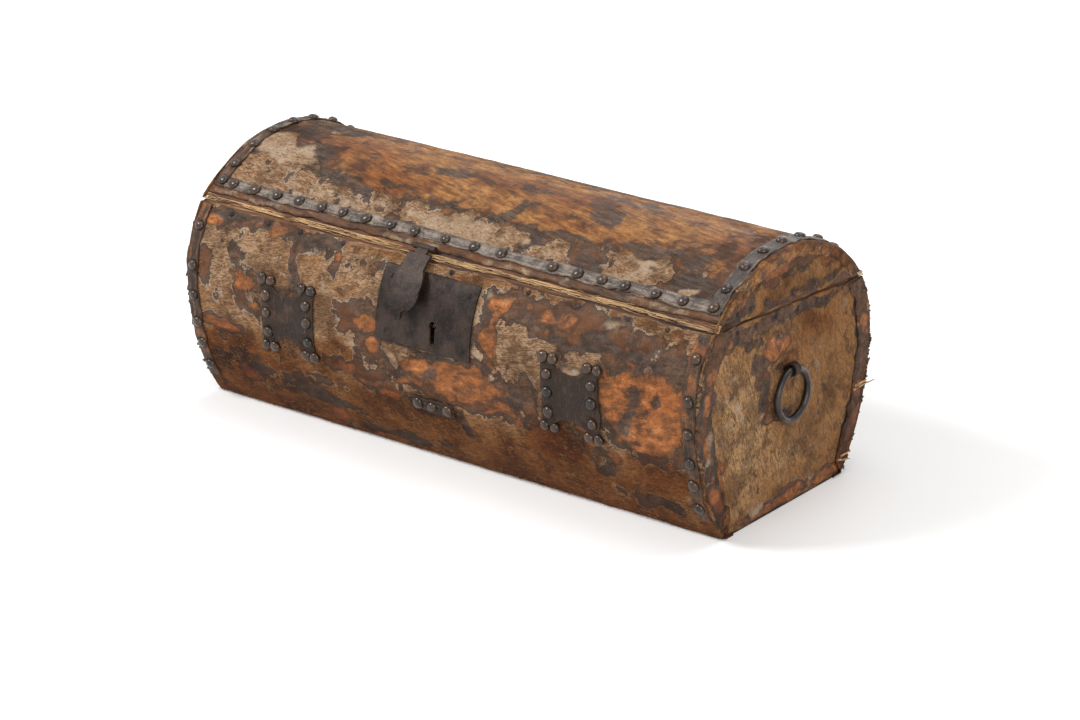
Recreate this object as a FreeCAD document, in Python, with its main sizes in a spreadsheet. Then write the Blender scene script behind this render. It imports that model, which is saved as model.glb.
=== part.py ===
"""Hide-covered travel box: a barrel-shaped boarded carcass, sawn into a body and a domed lid.

Frame: X along the length, -Y is the front with the lock, +Z up, origin on the floor under the middle.
All lengths are millimetres. The cross-section is one outline: a flat floor, two swelling sides, two
shoulders and a crown, and every skin, board and strip is that outline moved in or out."""
import FreeCAD, Part
import math
import os
from FreeCAD import Placement, Rotation, Vector

SIZES = (
    ("length", 620.0, "over the hide, end to end"),
    ("belly_half_depth", 142.5, "half the depth where the sides swell most"),
    ("belly_height", 135.0, "height of that widest line"),
    ("floor_half_depth", 98.5, "half the depth of the flat underside"),
    ("crown_rise", 123.0, "height of the crown above the widest line"),
    ("lid_gap", 0.6, "gap between lid and body"),
    ("hide_thick", 1.6, "thickness of the hide"),
    ("glue_gap", 0.2, "layer of glue, left open"),
    ("body_fold", 22.0, "how far the body hide folds over the ends"),
    ("lid_fold", 12.0, "how far the lid hide folds over the lid ends"),
    ("body_reveal", 2.0, "bare board above the body hide"),
    ("lid_reveal", 5.0, "bare board below the lid hide"),
    ("underlap", 15.0, "how far the front and back hides turn under the floor"),
    ("stave_thick", 9.0, "thickness of a stave at its edges"),
    ("foot_width", 14.0, "width of the lowest staves where they stand on the floor"),
    ("floor_thick", 12.0, "thickness of the bottom board"),
    ("end_thick", 14.0, "thickness of the end boards"),
    ("lower_joint_height", 58.0, "height of the joint above the lowest staves"),
    ("upper_joint_height", 120.0, "height of the joint below the uppermost staves"),
    ("rim_half_depth", 102.0, "half the depth of the mouth between the rims"),
    ("leather_thick", 1.5, "thickness of the edging strips and patches"),
    ("iron_thick", 2.0, "thickness of the lock plate and hinge leaves"),
    ("lid_end_strip_inset", 6.5, "from the end of the box to the lid's end strips"),
    ("lid_end_strip_width", 16.0, "width of the lid's end strips"),
    ("corner_strip_inset", 3.0, "from the end of the box to the corner strips"),
    ("corner_strip_width", 15.0, "width of the corner strips"),
    ("corner_strip_low", 24.0, "height where the corner strips end"),
    ("corner_strip_top_gap", 3.0, "from the top of a corner strip to the lid seam"),
    ("stud_head", 10.5, "diameter of a domed stud"),
    ("stud_rise", 4.2, "height of the dome"),
    ("stud_shank", 2.2, "diameter of its shank"),
    ("stud_reach", 9.0, "length of its shank"),
    ("tack_head", 5.6, "diameter of a small nail's head"),
    ("tack_rise", 1.6, "height of that head"),
    ("tack_shank", 1.6, "diameter of its shank"),
    ("tack_reach", 7.5, "length of its shank"),
    ("board_nail_head", 4.6, "diameter of a board nail's flat head"),
    ("board_nail_rise", 1.3, "thickness of that head, which is sunk flush"),
    ("board_nail_shank", 2.0, "diameter of its shank"),
    ("board_nail_reach", 27.0, "length of its shank"),
    ("strap_nail_reach", 7.0, "length of the two nails of the hinge strap"),
    ("nail_room", 0.05, "air round a shank"),
    ("seat_gap", 0.05, "air under a head"),
    ("patch_width", 66.0, "width of the two spool-shaped patches"),
    ("patch_height", 83.0, "height of the patches"),
    ("patch_middle_height", 119.5, "height of their middle"),
    ("patch_waist", 19.0, "depth of the hollow in their upper and lower edges"),
    ("patch_column_spread", 51.0, "between the two columns of studs on a patch"),
    ("stud_pair_spread", 11.4, "between the two studs of a pair"),
    ("left_patch_place", -178.5, "middle of the left patch along the box"),
    ("right_patch_place", 165.5, "middle of the right patch along the box"),
    ("scrap_width", 50.0, "width of the small patch under the lock"),
    ("scrap_low", 60.5, "height of its lower edge"),
    ("scrap_high", 74.5, "height of its upper edge"),
    ("scrap_place", -4.0, "its middle along the box"),
    ("plate_place", -8.0, "middle of the lock plate along the box"),
    ("plate_width", 114.0, "width of the lock plate"),
    ("plate_nail_margin", 10.0, "from the plate's edges to its nails"),
    ("keyhole_place", 4.0, "middle of the keyhole along the box"),
    ("keyhole_eye_radius", 4.2, "radius of the eye"),
    ("keyhole_slot_width", 5.6, "width of the slot below it"),
    ("mortise_left", -50.0, "left side of the mortise along the box"),
    ("mortise_right", 28.0, "right side of the mortise"),
    ("mortise_below", 34.0, "how far it reaches below the lock's middle"),
    ("mortise_above", 28.0, "how far it reaches above it"),
    ("mortise_deep", 12.0, "its depth from the outside of the hide"),
    ("hasp_place", -29.0, "middle of the hasp along the box"),
    ("hasp_neck", 26.0, "width of the hasp at its hinge"),
    ("hasp_belly", 34.0, "width of the hasp where it swells"),
    ("hasp_thick", 2.5, "thickness of the hasp"),
    ("hasp_air", 0.7, "gap between the closed hasp and the plate"),
    ("hasp_cheek", 23.0, "width there"),
    ("hasp_throat", 5.4, "width of the throat"),
    ("hasp_tip_width", 7.0, "width across the tip"),
    ("hasp_stand_off", 9.0, "degrees by which the hasp hangs away from the plate"),
    ("loop_deep", 10.3, "how far the loop reaches in from the hasp"),
    ("loop_tall", 13.0, "height of the loop"),
    ("loop_wide", 4.0, "thickness of the loop along the box"),
    ("loop_wall", 2.2, "iron left round the eye of the loop"),
    ("slot_room", 1.6, "air round the loop in its slot"),
    ("bolt_throw", 9.0, "travel of the bolt"),
    ("bolt_thick", 3.6, "thickness of the bolt"),
    ("bolt_tall", 7.0, "height of the bolt"),
    ("bolt_sink", 1.0, "from the hide's surface in to the bolt"),
    ("bolt_notch", 9.0, "width of the notch that the key turns in"),
    ("bolt_end_gap", 1.5, "from the drawn-back bolt to the hasp's loop, and to the case"),
    ("bolt_room", 0.15, "air round the bolt in its guides"),
    ("guide_width", 4.0, "width of a bolt guide along the box"),
    ("guide_wall", 2.0, "iron on each side of the bolt in a guide"),
    ("case_wall", 1.5, "sheet iron of the lock case"),
    ("case_room", 0.1, "air round the case in its mortise"),
    ("key_pin_radius", 1.6, "radius of the pin that the key turns on"),
    ("hasp_knuckle_radius", 3.0, "outer radius of the hasp's hinge knuckles"),
    ("hasp_pin_radius", 1.3, "radius of the hasp's hinge pin"),
    ("pin_room", 0.06, "air round a hinge pin"),
    ("hasp_axis_lift", 3.4, "from the hide to the axis of the hasp's hinge"),
    ("hasp_knuckle", 13.0, "length of the hasp's own knuckle"),
    ("hinge_web", 1.6, "half the thickness of the webs between strap and eyes"),
    ("lid_eye_length", 6.0, "length of each eye of the lid's hinge strap"),
    ("knuckle_gap", 0.3, "end gap between knuckles"),
    ("strap_room", 0.1, "air round the hinge strap in its recess"),
    ("hinge_place", 190.0, "middle of each back hinge from the middle of the box"),
    ("hinge_width", 26.0, "width of a hinge leaf"),
    ("hinge_axis_lift", 3.4, "from the hide to the hinge axis"),
    ("hinge_knuckle_radius", 3.1, "outer radius of the hinge knuckles"),
    ("hinge_pin_radius", 1.5, "radius of the hinge pins"),
    ("leaf_seam_gap", 5.0, "from the seam to the broad part of a leaf"),
    ("ring_radius", 25.0, "radius of a ring handle, to the middle of its wire"),
    ("ring_wire", 3.6, "radius of that wire"),
    ("eye_room", 0.9, "air between the ring and its eye"),
    ("eye_strap_thick", 2.0, "thickness of the eye's iron strap"),
    ("eye_strap_width", 8.0, "width of that strap"),
    ("eye_gap", 0.3, "from the eye to the end of the box"),
    ("shank_tall", 4.4, "height of the strap's two ends, side by side in the board"),
    ("clench_length", 13.0, "length of the clenched ends inside the box"),
    ("overrun", 20.0, "how far a cutting shape runs past what it cuts"),
)
# Heights above the widest line, or below it where negative, so that they follow it up and down.
RISES = (
    ("seam_front_height", 74.5, "height of the lid seam above the front widest line"),
    ("seam_back_height", 58.7, "the same at the back, lower because the saw cut slopes"),
    ("lid_strip_low", 84.5, "height of the lower edge of the lid's front strip"),
    ("lid_strip_high", 92.2, "height of its upper edge"),
    ("plate_low", -8.0, "height of its lower edge"),
    ("plate_high", 62.5, "height of its upper edge"),
    ("keyhole_eye_height", 18.5, "height of the keyhole's round eye"),
    ("keyhole_slot_low", -1.0, "height of the slot's lower end"),
    ("lock_middle_height", 31.3, "height about which the lock and its mortise are laid out"),
    ("hasp_top", 76.5, "height where the hasp's leaf ends below its hinge"),
    ("hasp_shoulder_height", 63.0, "height where the neck begins to swell"),
    ("hasp_belly_height", 44.0, "height of its widest place"),
    ("hasp_cheek_height", 26.5, "height where the belly ends"),
    ("hasp_throat_height", 22.0, "height of the throat above the tip"),
    ("hasp_tip", 13.8, "height of its tip"),
    ("loop_height", 39.8, "height of the loop on the back of the hasp"),
    ("hasp_axis_height", 79.0, "height of the hide under that axis"),
    ("hasp_strap_high", 96.0, "height to which the hinge strap runs under the lid's hide"),
    ("hem_notch_high", 82.5, "height of the notch in the lid's hide over the hasp's hinge"),
    ("body_leaf_low", 5.0, "height of the lower end of a body leaf"),
    ("lid_leaf_high", 101.0, "height of the upper end of a lid leaf"),
    ("ring_eye_height", 5.4, "height of the eye that the ring hangs in"),
)
# Places along the box, as shares of its length, and across it, as shares of the widest half depth.
CROWN_TURN_SHARE = 0.63829  # how far out, as a share of its radius, the crown runs into the shoulder
LID_STUD_SHARES = (-0.453, -0.408, -0.361, -0.316, -0.269, -0.226, -0.179, -0.129, -0.082, -0.022,
                   0.035, 0.087, 0.184, 0.231, 0.276, 0.318, 0.374, 0.423)
LID_END_STUD_SHARES = (-0.69, -0.56, -0.36, -0.16, 0.05, 0.26, 0.47, 0.66)
BODY_TACK_SHARES = (-0.43, -0.353, -0.287, -0.2, 0.016, 0.163, 0.255, 0.347, 0.418)
BACK_TACK_SHARES = (-0.44, -0.37, -0.24, -0.17, -0.09, 0.0, 0.09, 0.17, 0.24, 0.37, 0.44)
END_TACK_SHARES = (-0.56, -0.35, -0.12, 0.13, 0.36)
LID_TACK_SHARES = (-0.565, -0.42, -0.24, 0.06, 0.32, 0.55)
BOARD_NAIL_SHARES = (0.28, 0.72)
# Heights as shares of the overall height.
CORNER_STUD_SHARES = (0.72, 0.575, 0.455, 0.34, 0.25, 0.15)
# Heights of the studs in one column of a patch, as shares of the patch's height from its middle.
PATCH_PAIR_SHARE = 0.415
PATCH_STUD_SHARES = (0.23, 0.015, -0.235)
SCRAP_STUD_SHARES = (-0.36, -0.02, 0.36)
# Places across the lid, as shares of the widest half depth: joints, and nails beside them.
LID_JOINT_SHARES = (-0.56, -0.2, 0.2, 0.56)
LID_BOARD_NAIL_SHARES = (-0.625, -0.46, -0.27, -0.07, 0.14, 0.34, 0.515, 0.61)
FLOOR_NAIL_SHARES = (-0.8, 0.0, 0.8)
LEAF_NAIL_SHARES = (0.12, 0.5, 0.84)


class Dim:
    """A length that is both a number and the expression that gives it, so each formula is written once."""

    def __init__(self, value, text):
        self.value = value
        self.text = text

    def _with(self, other, sign, flip=False):
        a, b = (dim(other), self) if flip else (self, dim(other))
        found = {"+": a.value + b.value, "-": a.value - b.value, "*": a.value * b.value}.get(sign)
        if found is None:
            found = a.value / b.value
        return Dim(found, f"({a.text} {sign} {b.text})")

    def __add__(self, other):
        return self._with(other, "+")

    def __radd__(self, other):
        return self._with(other, "+", True)

    def __sub__(self, other):
        return self._with(other, "-")

    def __rsub__(self, other):
        return self._with(other, "-", True)

    def __mul__(self, other):
        return self._with(other, "*")

    def __rmul__(self, other):
        return self._with(other, "*", True)

    def __truediv__(self, other):
        return self._with(other, "/")

    def __neg__(self):
        return Dim(-self.value, f"(-{self.text})")

    def __float__(self):
        return float(self.value)


def dim(x):
    return x if isinstance(x, Dim) else Dim(float(x), f"{float(x):.6f}")


def root(x):
    return Dim(math.sqrt(x.value), f"sqrt({x.text})")


doc = FreeCAD.newDocument("travel_box")
sheet = doc.addObject("Spreadsheet::Sheet", "Sizes")


class Sizes:
    """Every named size of the sheet, as a Dim."""


DRIVING = SIZES + tuple((alias + "_rise", number, note) for alias, number, note in RISES)
for row, (alias, number, note) in enumerate(DRIVING, start=1):
    sheet.set(f"A{row}", alias)
    sheet.set(f"B{row}", str(number))
    sheet.set(f"C{row}", note)
    sheet.setAlias(f"B{row}", alias)
    setattr(Sizes, alias, Dim(number, f"Sizes.{alias}"))
doc.recompute()
S = Sizes
NIL = dim(0)
parts = []


def cell(alias, size):
    """Keeps a derived size in the sheet, as a formula, and returns it by its short name."""
    line = len(DRIVING) + len(cell.made) + 2
    cell.made.append(alias)
    sheet.set(f"A{line}", alias)
    sheet.set(f"B{line}", "=" + size.text.replace("Sizes.", ""))
    sheet.setAlias(f"B{line}", alias)
    return Dim(size.value, f"Sizes.{alias}")


cell.made = []
for alias, number, note in RISES:
    setattr(Sizes, alias, cell(alias, S.belly_height + getattr(S, alias + "_rise")))


def keep(piece, label):
    """Names a finished piece, so that it is written out."""
    for blank in doc.getObjectsByLabel(label):
        blank.Label = label + "_blank"
    piece.Label = label
    parts.append(piece)
    return piece


def bind(thing, prop, size):
    thing.setExpression(prop, dim(size).text)


# The cross-section and its derived radii.
HALF = cell("half_length", S.length / 2)
SWELL = cell("side_swell", S.belly_half_depth - S.floor_half_depth)
SIDE_RADIUS = cell("side_radius", (SWELL * SWELL + S.belly_height * S.belly_height) / (2 * SWELL))
SIDE_CENTRE = cell("side_centre", S.belly_half_depth - SIDE_RADIUS)
OVERALL = cell("overall_height", S.belly_height + S.crown_rise)
CROWN_OUT = dim(CROWN_TURN_SHARE)
CROWN_UP = root(1 - CROWN_OUT * CROWN_OUT)
TURN_SPARE = 1 - CROWN_OUT - CROWN_UP
SHOULDER_RADIUS = cell(
    "shoulder_radius", (S.belly_half_depth * (1 - CROWN_UP) - CROWN_OUT * S.crown_rise) / TURN_SPARE)
SHOULDER_CENTRE = cell("shoulder_centre", S.belly_half_depth - SHOULDER_RADIUS)
CROWN_RADIUS = cell(
    "crown_radius", ((1 - CROWN_OUT) * S.crown_rise - CROWN_UP * S.belly_half_depth) / TURN_SPARE)
CROWN_CENTRE = cell("crown_centre", OVERALL - CROWN_RADIUS)
BOARD_INSET = cell("board_inset", S.hide_thick + S.glue_gap)
END_BOARD_FACE = cell("end_board_face", HALF - 2 * BOARD_INSET)
MID_SEAM = cell("seam_middle_height", (S.seam_front_height + S.seam_back_height) / 2)
SEAM_SLOPE = cell(
    "seam_slope_ratio", (S.seam_back_height - S.seam_front_height) / (2 * S.belly_half_depth))
FAR = cell("far_depth", S.belly_half_depth + S.overrun)


def seam_at(depth):
    """Height of the seam plane at a depth from the middle."""
    return MID_SEAM + SEAM_SLOPE * depth


def outline_points(inset):
    """The outline's corner points and arc radii, moved in by an inset (or out by a negative one)."""
    side = SIDE_RADIUS - inset
    drop = S.belly_height - inset
    floor_half = SIDE_CENTRE + root(side * side - drop * drop)
    belly = S.belly_half_depth - inset
    shoulder = SHOULDER_RADIUS - inset
    turn = (SHOULDER_CENTRE + CROWN_OUT * shoulder, S.belly_height + CROWN_UP * shoulder)
    points = [(-floor_half, inset), (floor_half, inset), (belly, S.belly_height), turn,
              (-turn[0], turn[1]), (-belly, S.belly_height)]
    radii = [None, side, shoulder, CROWN_RADIUS - inset, shoulder, side]
    return points, radii


def skin(height, lift=NIL):
    """A point of the front outline at a height, moved out by a lift: its depth, its height and its normal."""
    height, lift = float(height), float(lift)
    crown_from = float(S.belly_height + CROWN_UP * SHOULDER_RADIUS)
    if height > crown_from:
        centre, middle, radius = 0.0, float(CROWN_CENTRE), float(CROWN_RADIUS)
    elif height > float(S.belly_height):
        centre, middle, radius = -float(SHOULDER_CENTRE), float(S.belly_height), float(SHOULDER_RADIUS)
    else:
        centre, middle, radius = -float(SIDE_CENTRE), float(S.belly_height), float(SIDE_RADIUS)
    up = (height - middle) / radius
    out = -math.sqrt(1 - up * up)
    return centre + out * (radius + lift), middle + up * (radius + lift), Vector(0, out, up)


def plane_of(body, role):
    return next(f for f in body.Origin.OriginFeatures if f.Role == role)


def sketch_loop(body, role, points, radii=None):
    """A closed sketch through points, each held by its two coordinates, with an arc of the given radius
    from each point to the next where one is named. Loops run counter-clockwise and arcs bulge outwards,
    or inwards where the radius is negative."""
    sketch = body.newObject("Sketcher::SketchObject", body.Label + "_sketch")
    sketch.AttachmentSupport = [(plane_of(body, role), "")]
    sketch.MapMode = "FlatFace"
    add_loop(sketch, points, radii)
    return sketch


def add_loop(sketch, points, radii=None):
    import Sketcher
    count = len(points)
    radii = radii or [None] * count
    places = [Vector(float(u), float(v), 0) for u, v in points]
    first = sketch.GeometryCount
    bent = []
    for i in range(count):
        a, b = places[i], places[(i + 1) % count]
        if radii[i] is None:
            sketch.addGeometry(Part.LineSegment(a, b))
            bent.append(None)
            continue
        inward = float(radii[i]) < 0
        radius = abs(float(radii[i]))
        half = (b - a).Length / 2
        sag = math.sqrt(max(radius * radius - half * half, 0.0))
        left = Vector(0, 0, 1).cross((b - a).normalize())
        centre = (a + b) * 0.5 + left * (-sag if inward else sag)
        angle_a = math.atan2(a.y - centre.y, a.x - centre.x)
        angle_b = math.atan2(b.y - centre.y, b.x - centre.x)
        circle = Part.Circle(centre, Vector(0, 0, 1), radius)
        ends = (angle_b, angle_a) if inward else (angle_a, angle_b)
        sketch.addGeometry(Part.ArcOfCircle(circle, *ends))
        bent.append(inward)
    held = []
    for i in range(count):
        before = first + (i - 1) % count
        this = first + i
        end_of_before = 1 if bent[(i - 1) % count] else 2
        start_of_this = 2 if bent[i] else 1
        sketch.addConstraint(Sketcher.Constraint("Coincident", before, end_of_before, this, start_of_this))
        for kind, size in zip(("DistanceX", "DistanceY"), points[i]):
            number = sketch.addConstraint(
                Sketcher.Constraint(kind, -1, 1, this, start_of_this, float(size)))
            held.append((number, dim(size)))
        if radii[i] is not None:
            size = -radii[i] if bent[i] else radii[i]
            number = sketch.addConstraint(Sketcher.Constraint("Radius", this, float(size)))
            held.append((number, dim(size)))
    for number, size in held:
        sketch.setExpression(f"Constraints[{number}]", size.text)


def add_circle(sketch, u, v, radius):
    import Sketcher
    this = sketch.addGeometry(Part.Circle(Vector(float(u), float(v), 0), Vector(0, 0, 1), float(radius)))
    for kind, size in (("DistanceX", u), ("DistanceY", v)):
        number = sketch.addConstraint(Sketcher.Constraint(kind, -1, 1, this, 3, float(size)))
        sketch.setExpression(f"Constraints[{number}]", dim(size).text)
    number = sketch.addConstraint(Sketcher.Constraint("Radius", this, float(radius)))
    sketch.setExpression(f"Constraints[{number}]", dim(radius).text)


def pad(body, sketch, size, both_ways=True, backwards=False):
    feature = body.newObject("PartDesign::Pad", "pad")
    feature.Profile = sketch
    feature.Midplane = both_ways
    feature.Reversed = backwards
    bind(feature, "Length", size)
    return feature


def prism(name, points, size, radii=None, role="YZ_Plane", shift=None, both_ways=True):
    """A closed outline, padded both ways from the plane it is drawn on, then moved by a shift."""
    body = doc.addObject("PartDesign::Body", name)
    pad(body, sketch_loop(body, role, points, radii), size, both_ways)
    for axis, amount in zip("xyz", shift or ()):
        if amount is not None:
            bind(body, f"Placement.Base.{axis}", amount)
    return body


def block(name, low, high):
    """A box between two corners."""
    body = doc.addObject("Part::Box", name)
    for prop, axis, a, b in zip(("Length", "Width", "Height"), "xyz", low, high):
        bind(body, prop, dim(b) - a)
        bind(body, f"Placement.Base.{axis}", a)
    return body


def boolean(kind, name, base, tool):
    made = doc.addObject(f"Part::{kind}", name)
    made.Base = base
    made.Tool = tool
    made.Refine = True
    return made


def cut(name, base, tool):
    return boolean("Cut", name, base, tool)


def common(name, base, tool):
    return boolean("Common", name, base, tool)


def placed(name, piece, frame):
    """A piece drawn in a frame of its own, put where that frame lies."""
    made = doc.addObject("Part::Compound", name)
    made.Links = [piece]
    made.Placement = frame
    return made


def fuse(name, *shapes):
    made = doc.addObject("Part::MultiFuse", name)
    made.Shapes = list(shapes)
    made.Refine = True
    return made


def drum(name, inset, half=HALF):
    """The whole barrel, with its outline moved in by an inset."""
    points, radii = outline_points(dim(inset))
    return prism(name, points, 2 * half, radii)


def zone(name, low, high):
    """Everything between two heights above the seam plane, measured upright."""
    floor = [(-FAR, seam_at(-FAR) + low), (FAR, seam_at(FAR) + low)]
    roof = [(FAR, seam_at(FAR) + high), (-FAR, seam_at(-FAR) + high)]
    return prism(name, floor + roof, S.length + 2 * S.overrun)


# Layers that the pieces are cut from.
outer = drum("outer_barrel", 0)
under_hide = drum("under_hide_barrel", S.hide_thick, HALF - S.hide_thick)
boards = drum("board_barrel", BOARD_INSET, END_BOARD_FACE)
LAYER_LOW = -S.glue_gap
leather_bed = drum("leather_bed", LAYER_LOW, HALF + S.overrun)
leather_top = drum("leather_top", LAYER_LOW - S.leather_thick, HALF + S.overrun / 2)
leather_layer = cut("leather_layer", leather_top, leather_bed)
iron_top = drum("iron_top", LAYER_LOW - S.iron_thick, HALF + S.overrun / 2)
iron_layer = cut("iron_layer", iron_top, leather_bed)
TALL = OVERALL + S.overrun
body_zone = zone("body_zone", -TALL, -S.lid_gap / 2)
lid_zone = zone("lid_zone", S.lid_gap / 2, TALL)
body_hide_zone = zone("body_hide_zone", -TALL, -S.body_reveal)
lid_hide_zone = zone("lid_hide_zone", S.lid_reveal, TALL)


# The boards. Each stave is flat inside and round outside, between two joints square to the outline.
def on_arc(centre, middle, radius, point, inset):
    """A point of an arc, moved in along its radius."""
    keep_share = (radius - inset) / radius
    return centre + (point[0] - centre) * keep_share, middle + (point[1] - middle) * keep_share


def side_point(height, inset):
    drop = S.belly_height - height
    depth = SIDE_CENTRE + root(SIDE_RADIUS * SIDE_RADIUS - drop * drop)
    return on_arc(SIDE_CENTRE, S.belly_height, SIDE_RADIUS, (depth, height), inset)


def crown_point(depth, inset):
    height = CROWN_CENTRE + root(CROWN_RADIUS * CROWN_RADIUS - depth * depth)
    return on_arc(NIL, CROWN_CENTRE, CROWN_RADIUS, (depth, height), inset)


INNER = BOARD_INSET + S.stave_thick
OUTSIDE = -S.overrun
FLOOR_TOP = BOARD_INSET + S.floor_thick
foot_in = (S.floor_half_depth - S.foot_width, BOARD_INSET)
foot_out = (FAR, BOARD_INSET)
lower_in, lower_out = side_point(S.lower_joint_height, INNER), side_point(S.lower_joint_height, OUTSIDE)
belly_in, belly_out = side_point(S.upper_joint_height, INNER), side_point(S.upper_joint_height, OUTSIDE)
lean = (lower_in[0] - foot_in[0]) / (lower_in[1] - foot_in[1])
floor_edge = (foot_in[0] + lean * S.floor_thick, FLOOR_TOP)


def mirrored(point, side):
    return (point[0] * side, point[1])


def stave(name, loop, side, region=None):
    loop = [mirrored(p, side) for p in loop]
    wood = common(name + "_wood", boards, prism(name + "_wedge", loop, S.length + S.overrun))
    return common(name, wood, region) if region else wood


rim_in = {side: (S.rim_half_depth, seam_at(S.rim_half_depth * side)) for side in (-1, 1)}
rim_far = {side: (FAR, seam_at(FAR * side) + S.overrun) for side in (-1, 1)}
front, back = -1, 1
staves = {}
for side, word in ((front, "front"), (back, "back")):
    staves[word, "lower"] = stave(f"{word}_stave_lower", [foot_in, foot_out, lower_out, lower_in], side)
    staves[word, "middle"] = stave(f"{word}_stave_middle", [lower_in, lower_out, belly_out, belly_in], side)
    above = (S.rim_half_depth, rim_in[side][1] + S.overrun)
    staves[word, "upper"] = stave(
        f"{word}_stave_upper", [belly_in, belly_out, rim_far[side], above, rim_in[side]], side, body_zone)

lid_joints = [crown_point(S.belly_half_depth * share, INNER) for share in LID_JOINT_SHARES]
lid_joints_far = [crown_point(S.belly_half_depth * share, OUTSIDE) for share in LID_JOINT_SHARES]
lid_staves = []
lid_lows = {side: (S.rim_half_depth, rim_in[side][1] - S.overrun) for side in (-1, 1)}
lid_fars = {side: (FAR, seam_at(FAR * side) - S.overrun) for side in (-1, 1)}
chain = [mirrored(rim_in[front], -1)] + lid_joints + [rim_in[back]]
chain_far = [None] + lid_joints_far + [None]
for k in range(5):
    if k == 0:
        loop = [mirrored(lid_lows[front], -1), chain[0], chain[1], chain_far[1], mirrored(lid_fars[front], -1)]
    elif k == 4:
        loop = [lid_fars[back], chain_far[4], chain[4], chain[5], lid_lows[back]]
    else:
        loop = [chain[k + 1], chain_far[k + 1], chain_far[k], chain[k]]
    wedge = prism(f"lid_wedge_{k + 1}", loop, S.length + S.overrun)
    wood = common(f"lid_wood_{k + 1}", boards, wedge)
    lid_staves.append(common(f"lid_stave_{k + 1}", wood, lid_zone))

bottom_board = prism(
    "bottom_board",
    [mirrored(foot_in, -1), foot_in, floor_edge, mirrored(floor_edge, -1)], 2 * END_BOARD_FACE)

inner_loop = [
    mirrored(floor_edge, -1), floor_edge, lower_in, belly_in, rim_in[back], lid_joints[3], lid_joints[2],
    lid_joints[1], lid_joints[0], mirrored(rim_in[front], -1), mirrored(belly_in, -1), mirrored(lower_in, -1)]
END_MIDDLE = END_BOARD_FACE - S.end_thick / 2
end_boards, lid_end_boards = {}, {}
for side, word in ((-1, "left"), (1, "right")):
    whole = prism(f"{word}_whole_end", inner_loop, S.end_thick, shift=(END_MIDDLE * side, None, None))
    end_boards[word] = common(f"{word}_end_board", whole, body_zone)
    lid_end_boards[word] = common(f"{word}_lid_end_board", whole, lid_zone)

# The hides.
skin_shell = cut("skin_shell", outer, under_hide)
WIDE = HALF + S.overrun
body_skin = common("body_skin", skin_shell, body_hide_zone)
body_skin = cut("body_skin_folded", body_skin, drum("body_fold_line", S.body_fold, WIDE))
SHEET_HALF = S.floor_half_depth - S.underlap
bottom_room = block("bottom_room", (-(HALF - S.hide_thick), -SHEET_HALF - S.glue_gap, -S.overrun),
                    (HALF - S.hide_thick, SHEET_HALF + S.glue_gap, BOARD_INSET))
body_skin = cut("body_skin_open", body_skin, bottom_room)
hides = {}
for side, word in ((front, "front"), (back, "back")):
    low, high = (-FAR, -S.glue_gap / 2) if side == front else (S.glue_gap / 2, FAR)
    half_space = block(f"{word}_half", (-WIDE, low, -S.overrun), (WIDE, high, TALL))
    hides[word] = common(f"body_{word}_hide", body_skin, half_space)
hides["bottom"] = block("body_bottom_hide", (-(HALF - S.hide_thick - S.glue_gap), -SHEET_HALF, NIL),
                        (HALF - S.hide_thick - S.glue_gap, SHEET_HALF, S.hide_thick))
lid_skin = common("lid_skin", skin_shell, lid_hide_zone)
hides["lid"] = cut("lid_hide", lid_skin, drum("lid_fold_line", S.lid_fold, WIDE))
END_HIDE_MIDDLE = HALF - S.hide_thick - S.glue_gap - S.hide_thick / 2
for side, word in ((-1, "left"), (1, "right")):
    points, radii = outline_points(BOARD_INSET)
    whole = prism(f"{word}_end_skin", points, S.hide_thick, radii, shift=(END_HIDE_MIDDLE * side, None, None))
    hides[word + "_end"] = common(f"{word}_end_hide", whole, body_hide_zone)
    hides["lid_" + word] = common(f"lid_{word}_end_hide", whole, lid_hide_zone)


# The leather edging and patches, cut from one layer that lies on the hide.
def on_layer(name, layer, low, high):
    return common(name, layer, block(name + "_limits", low, high))


LID_STRIP_END = HALF - S.lid_end_strip_inset - S.lid_end_strip_width
strips = {
    "lid_front": on_layer("lid_front_strip", leather_layer,
                          (-(LID_STRIP_END - S.glue_gap), -FAR, S.lid_strip_low),
                          (LID_STRIP_END - S.glue_gap, NIL, S.lid_strip_high))}
for side, word in ((-1, "left"), (1, "right")):
    edges = sorted((side * LID_STRIP_END, side * (HALF - S.lid_end_strip_inset)), key=float)
    strips["lid_" + word] = on_layer(f"lid_{word}_strip", leather_layer,
                                     (edges[0], -FAR, S.lid_strip_low), (edges[1], FAR, TALL))
CORNER_IN = HALF - S.corner_strip_inset - S.corner_strip_width
corner_zone = zone("corner_strip_zone", -TALL, -S.corner_strip_top_gap)
corner_layer = common("corner_layer", leather_layer, corner_zone)
for side, word in ((-1, "left"), (1, "right")):
    edges = sorted((side * CORNER_IN, side * (HALF - S.corner_strip_inset)), key=float)
    strips["front_" + word] = on_layer(f"front_{word}_strip", corner_layer,
                                       (edges[0], -FAR, S.corner_strip_low), (edges[1], NIL, TALL))
    strips["back_" + word] = on_layer(f"back_{word}_strip", corner_layer,
                                      (edges[0], NIL, S.corner_strip_low), (edges[1], FAR, TALL))

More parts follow.
